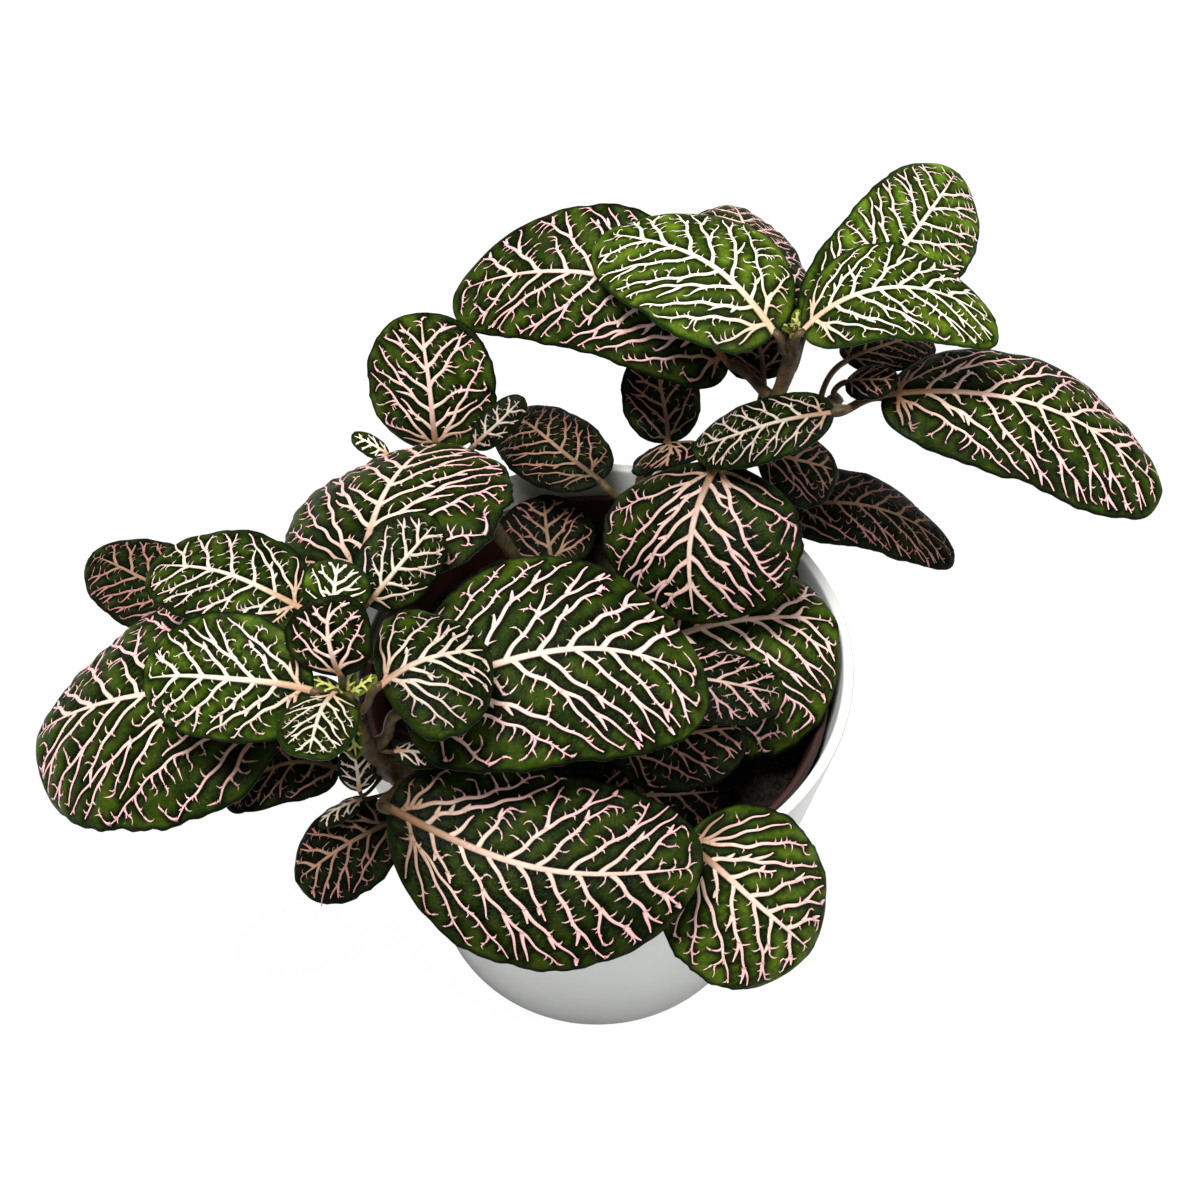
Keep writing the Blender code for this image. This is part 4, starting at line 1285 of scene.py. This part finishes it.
SOIL = mottled_finish("damp_peat", screen(11, 9, 7), screen(36, 27, 20), 500.0, 0.95, 0.25,
                      (900.0, 1.0, 0.9, 0.0008))
soil_profile = [(0, 6.1), (38.4, 6.1), (55.2, 98.0)]
for k in range(DOME_RINGS):
    height = 98.6 + 1.4 * math.sin(math.pi / 2 * k / DOME_RINGS)
    soil_profile.append((SOIL_RADIUS - SOIL_RADIUS * k / DOME_RINGS, height))
soil_profile.append((0, 100.0))
build = Mesh(("along",))
turned(build, soil_profile, 180, 0, soil_rough)
print("points of the soil's disc", build.size)

# %% [markdown]
# Crumbs are stretched octahedra of many sizes, turned at random and half sunk in the disc. A tenth of
# them are large. They belong to the same piece as the disc, because they lie loose in the soil.

# %% Crumbs
CRUMBS = 1500
CORNERS = ((1, 0, 0), (-1, 0, 0), (0, 1, 0), (0, -1, 0), (0, 0, 1), (0, 0, -1))
CRUMB_FACES = [(0, 2, 4), (2, 1, 4), (1, 3, 4), (3, 0, 4), (2, 0, 5), (1, 2, 5), (3, 1, 5), (0, 3, 5)]
STRETCH = (1.0, 0.8, 0.6)
rng = np.random.default_rng(500)
for _ in range(CRUMBS):
    radius = 54.5 * math.sqrt(rng.random())
    angle = rng.uniform(0, 2 * math.pi)
    size = rng.uniform(0.35, 1.5) if rng.random() < 0.9 else rng.uniform(1.2, 2.4)
    x, y = radius * math.cos(angle), radius * math.sin(angle)
    z = 98.9 + 1.2 * (1 - radius / SOIL_RADIUS) + float(soil_rough(radius, np.array([angle]))[0])
    turn = rng.uniform(0, 6.28)
    lump = []
    for corner in CORNERS:
        stretch = size * rng.uniform(0.6, 1.2) * STRETCH[int(np.argmax(np.abs(corner)))]
        c = np.array(corner, float) * stretch
        lump.append((x + c[0] * math.cos(turn) - c[1] * math.sin(turn),
                     y + c[0] * math.sin(turn) + c[1] * math.cos(turn), z + c[2]))
    build.add(lump, CRUMB_FACES, 0)
piece = build.build("soil_surface", [SOIL])
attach(piece, "root")
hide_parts("soil")
print("soil faces", len(piece.data.polygons))

# %% [markdown]
# ## Stage, light and camera
# The photo shows the plant on plain white. A pale floor and a bright surrounding do the same: where
# the camera sees them they glow nearly white, and for the plant they stay dim enough to model it.

# %% Floor
WHITE = (1.0, 1.0, 1.0, 1.0)
GLOW = 1.05
FLOOR_REACH = 6


def lit_for_camera(tree, plain, glow, share):
    """Mix a share of glow into a surface where the camera sees it, so it shows nearly white."""
    path = tree.nodes.new("ShaderNodeLightPath")
    mixer = tree.nodes.new("ShaderNodeMixShader")
    part = node(tree, "Math", {"operation": "MULTIPLY"})
    part.inputs[1].default_value = share
    tree.links.new(path.outputs["Is Camera Ray"], part.inputs[0])
    tree.links.new(part.outputs[0], mixer.inputs[0])
    tree.links.new(plain, mixer.inputs[1])
    tree.links.new(glow, mixer.inputs[2])
    return mixer.outputs[0]


def pale_floor():
    material, tree, shader = new_material("pale_floor", 0.9, 0.2)
    mottle = place_group(tree, MOTTLE, Dark=(0.8, 0.8, 0.8, 1.0), Light=(0.82, 0.82, 0.82, 1.0), Scale=2.0)
    tree.links.new(mottle.outputs["Color"], shader.inputs["Base Color"])
    glow = node(tree, "Emission", Color=WHITE, Strength=GLOW)
    mixed = lit_for_camera(tree, shader.outputs[0], glow.outputs[0], 0.93)
    tree.links.new(mixed, tree.nodes["Material Output"].inputs["Surface"])
    return material


floor_mesh = bpy.data.meshes.new("floor")
corners = [(x * FLOOR_REACH, y * FLOOR_REACH, 0) for x, y in ((-1, -1), (1, -1), (1, 1), (-1, 1))]
floor_mesh.from_pydata(corners, [], [(0, 1, 2, 3)])
floor_mesh.materials.append(pale_floor())
floor = bpy.data.objects.new("floor", floor_mesh)
bpy.context.scene.collection.objects.link(floor)
print("floor", 2 * FLOOR_REACH, "m wide")

# %% [markdown]
# One large soft light hangs above, a little left and in front, and shapes the puffed leaves. A
# weaker one from the right lifts the shadows on the pot. Both aim at the middle of the plant.

# %% Lights
MIDDLE = (0.0, 0.0, 0.13)


def soft_light(name, place, size, power):
    lamp = bpy.data.lights.new(name, "AREA")
    lamp.shape = "DISK"
    lamp.size = size
    lamp.energy = power
    holder = bpy.data.objects.new(name, lamp)
    bpy.context.scene.collection.objects.link(holder)
    holder.location = place
    aim = np.array(MIDDLE) - np.array(place)
    holder.rotation_mode = "QUATERNION"
    holder.rotation_quaternion = Vector(aim).to_track_quat("-Z", "Y")


soft_light("key", (-0.18, -0.14, 1.25), 0.42, 22.0)
soft_light("side", (0.85, -0.2, 0.5), 0.4, 2.6)
world = bpy.data.worlds.new("studio")
world.use_nodes = True
tree = world.node_tree
dim = tree.nodes["Background"]
dim.inputs["Color"].default_value = WHITE
dim.inputs["Strength"].default_value = 0.26
bright = node(tree, "Background", Color=WHITE, Strength=GLOW)
mixed = lit_for_camera(tree, dim.outputs[0], bright.outputs[0], 1.0)
tree.links.new(mixed, tree.nodes["World Output"].inputs["Surface"])
bpy.context.scene.world = world
bpy.context.scene.view_settings.view_transform = "Standard"
print("lights", [light.name for light in bpy.data.lights])

# %% [markdown]
# The camera stands in front of the plant, above it, and looks down at it. Its place, tilt and lens
# were fitted to the rims of the two pots and the foot of the outer one.

# %% Camera
camera_data = bpy.data.cameras.new("camera")
camera_data.sensor_width = 36.0
camera_data.lens = 58.05
camera_data.clip_start = 0.01
camera = bpy.data.objects.new("camera", camera_data)
bpy.context.scene.collection.objects.link(camera)
camera.location = (0.0008, -0.2868, 0.5216)
camera.rotation_euler = (math.radians(37.16), 0.0, 0.0)
bpy.context.scene.camera = camera
print("camera at", tuple(round(c, 3) for c in camera.location))
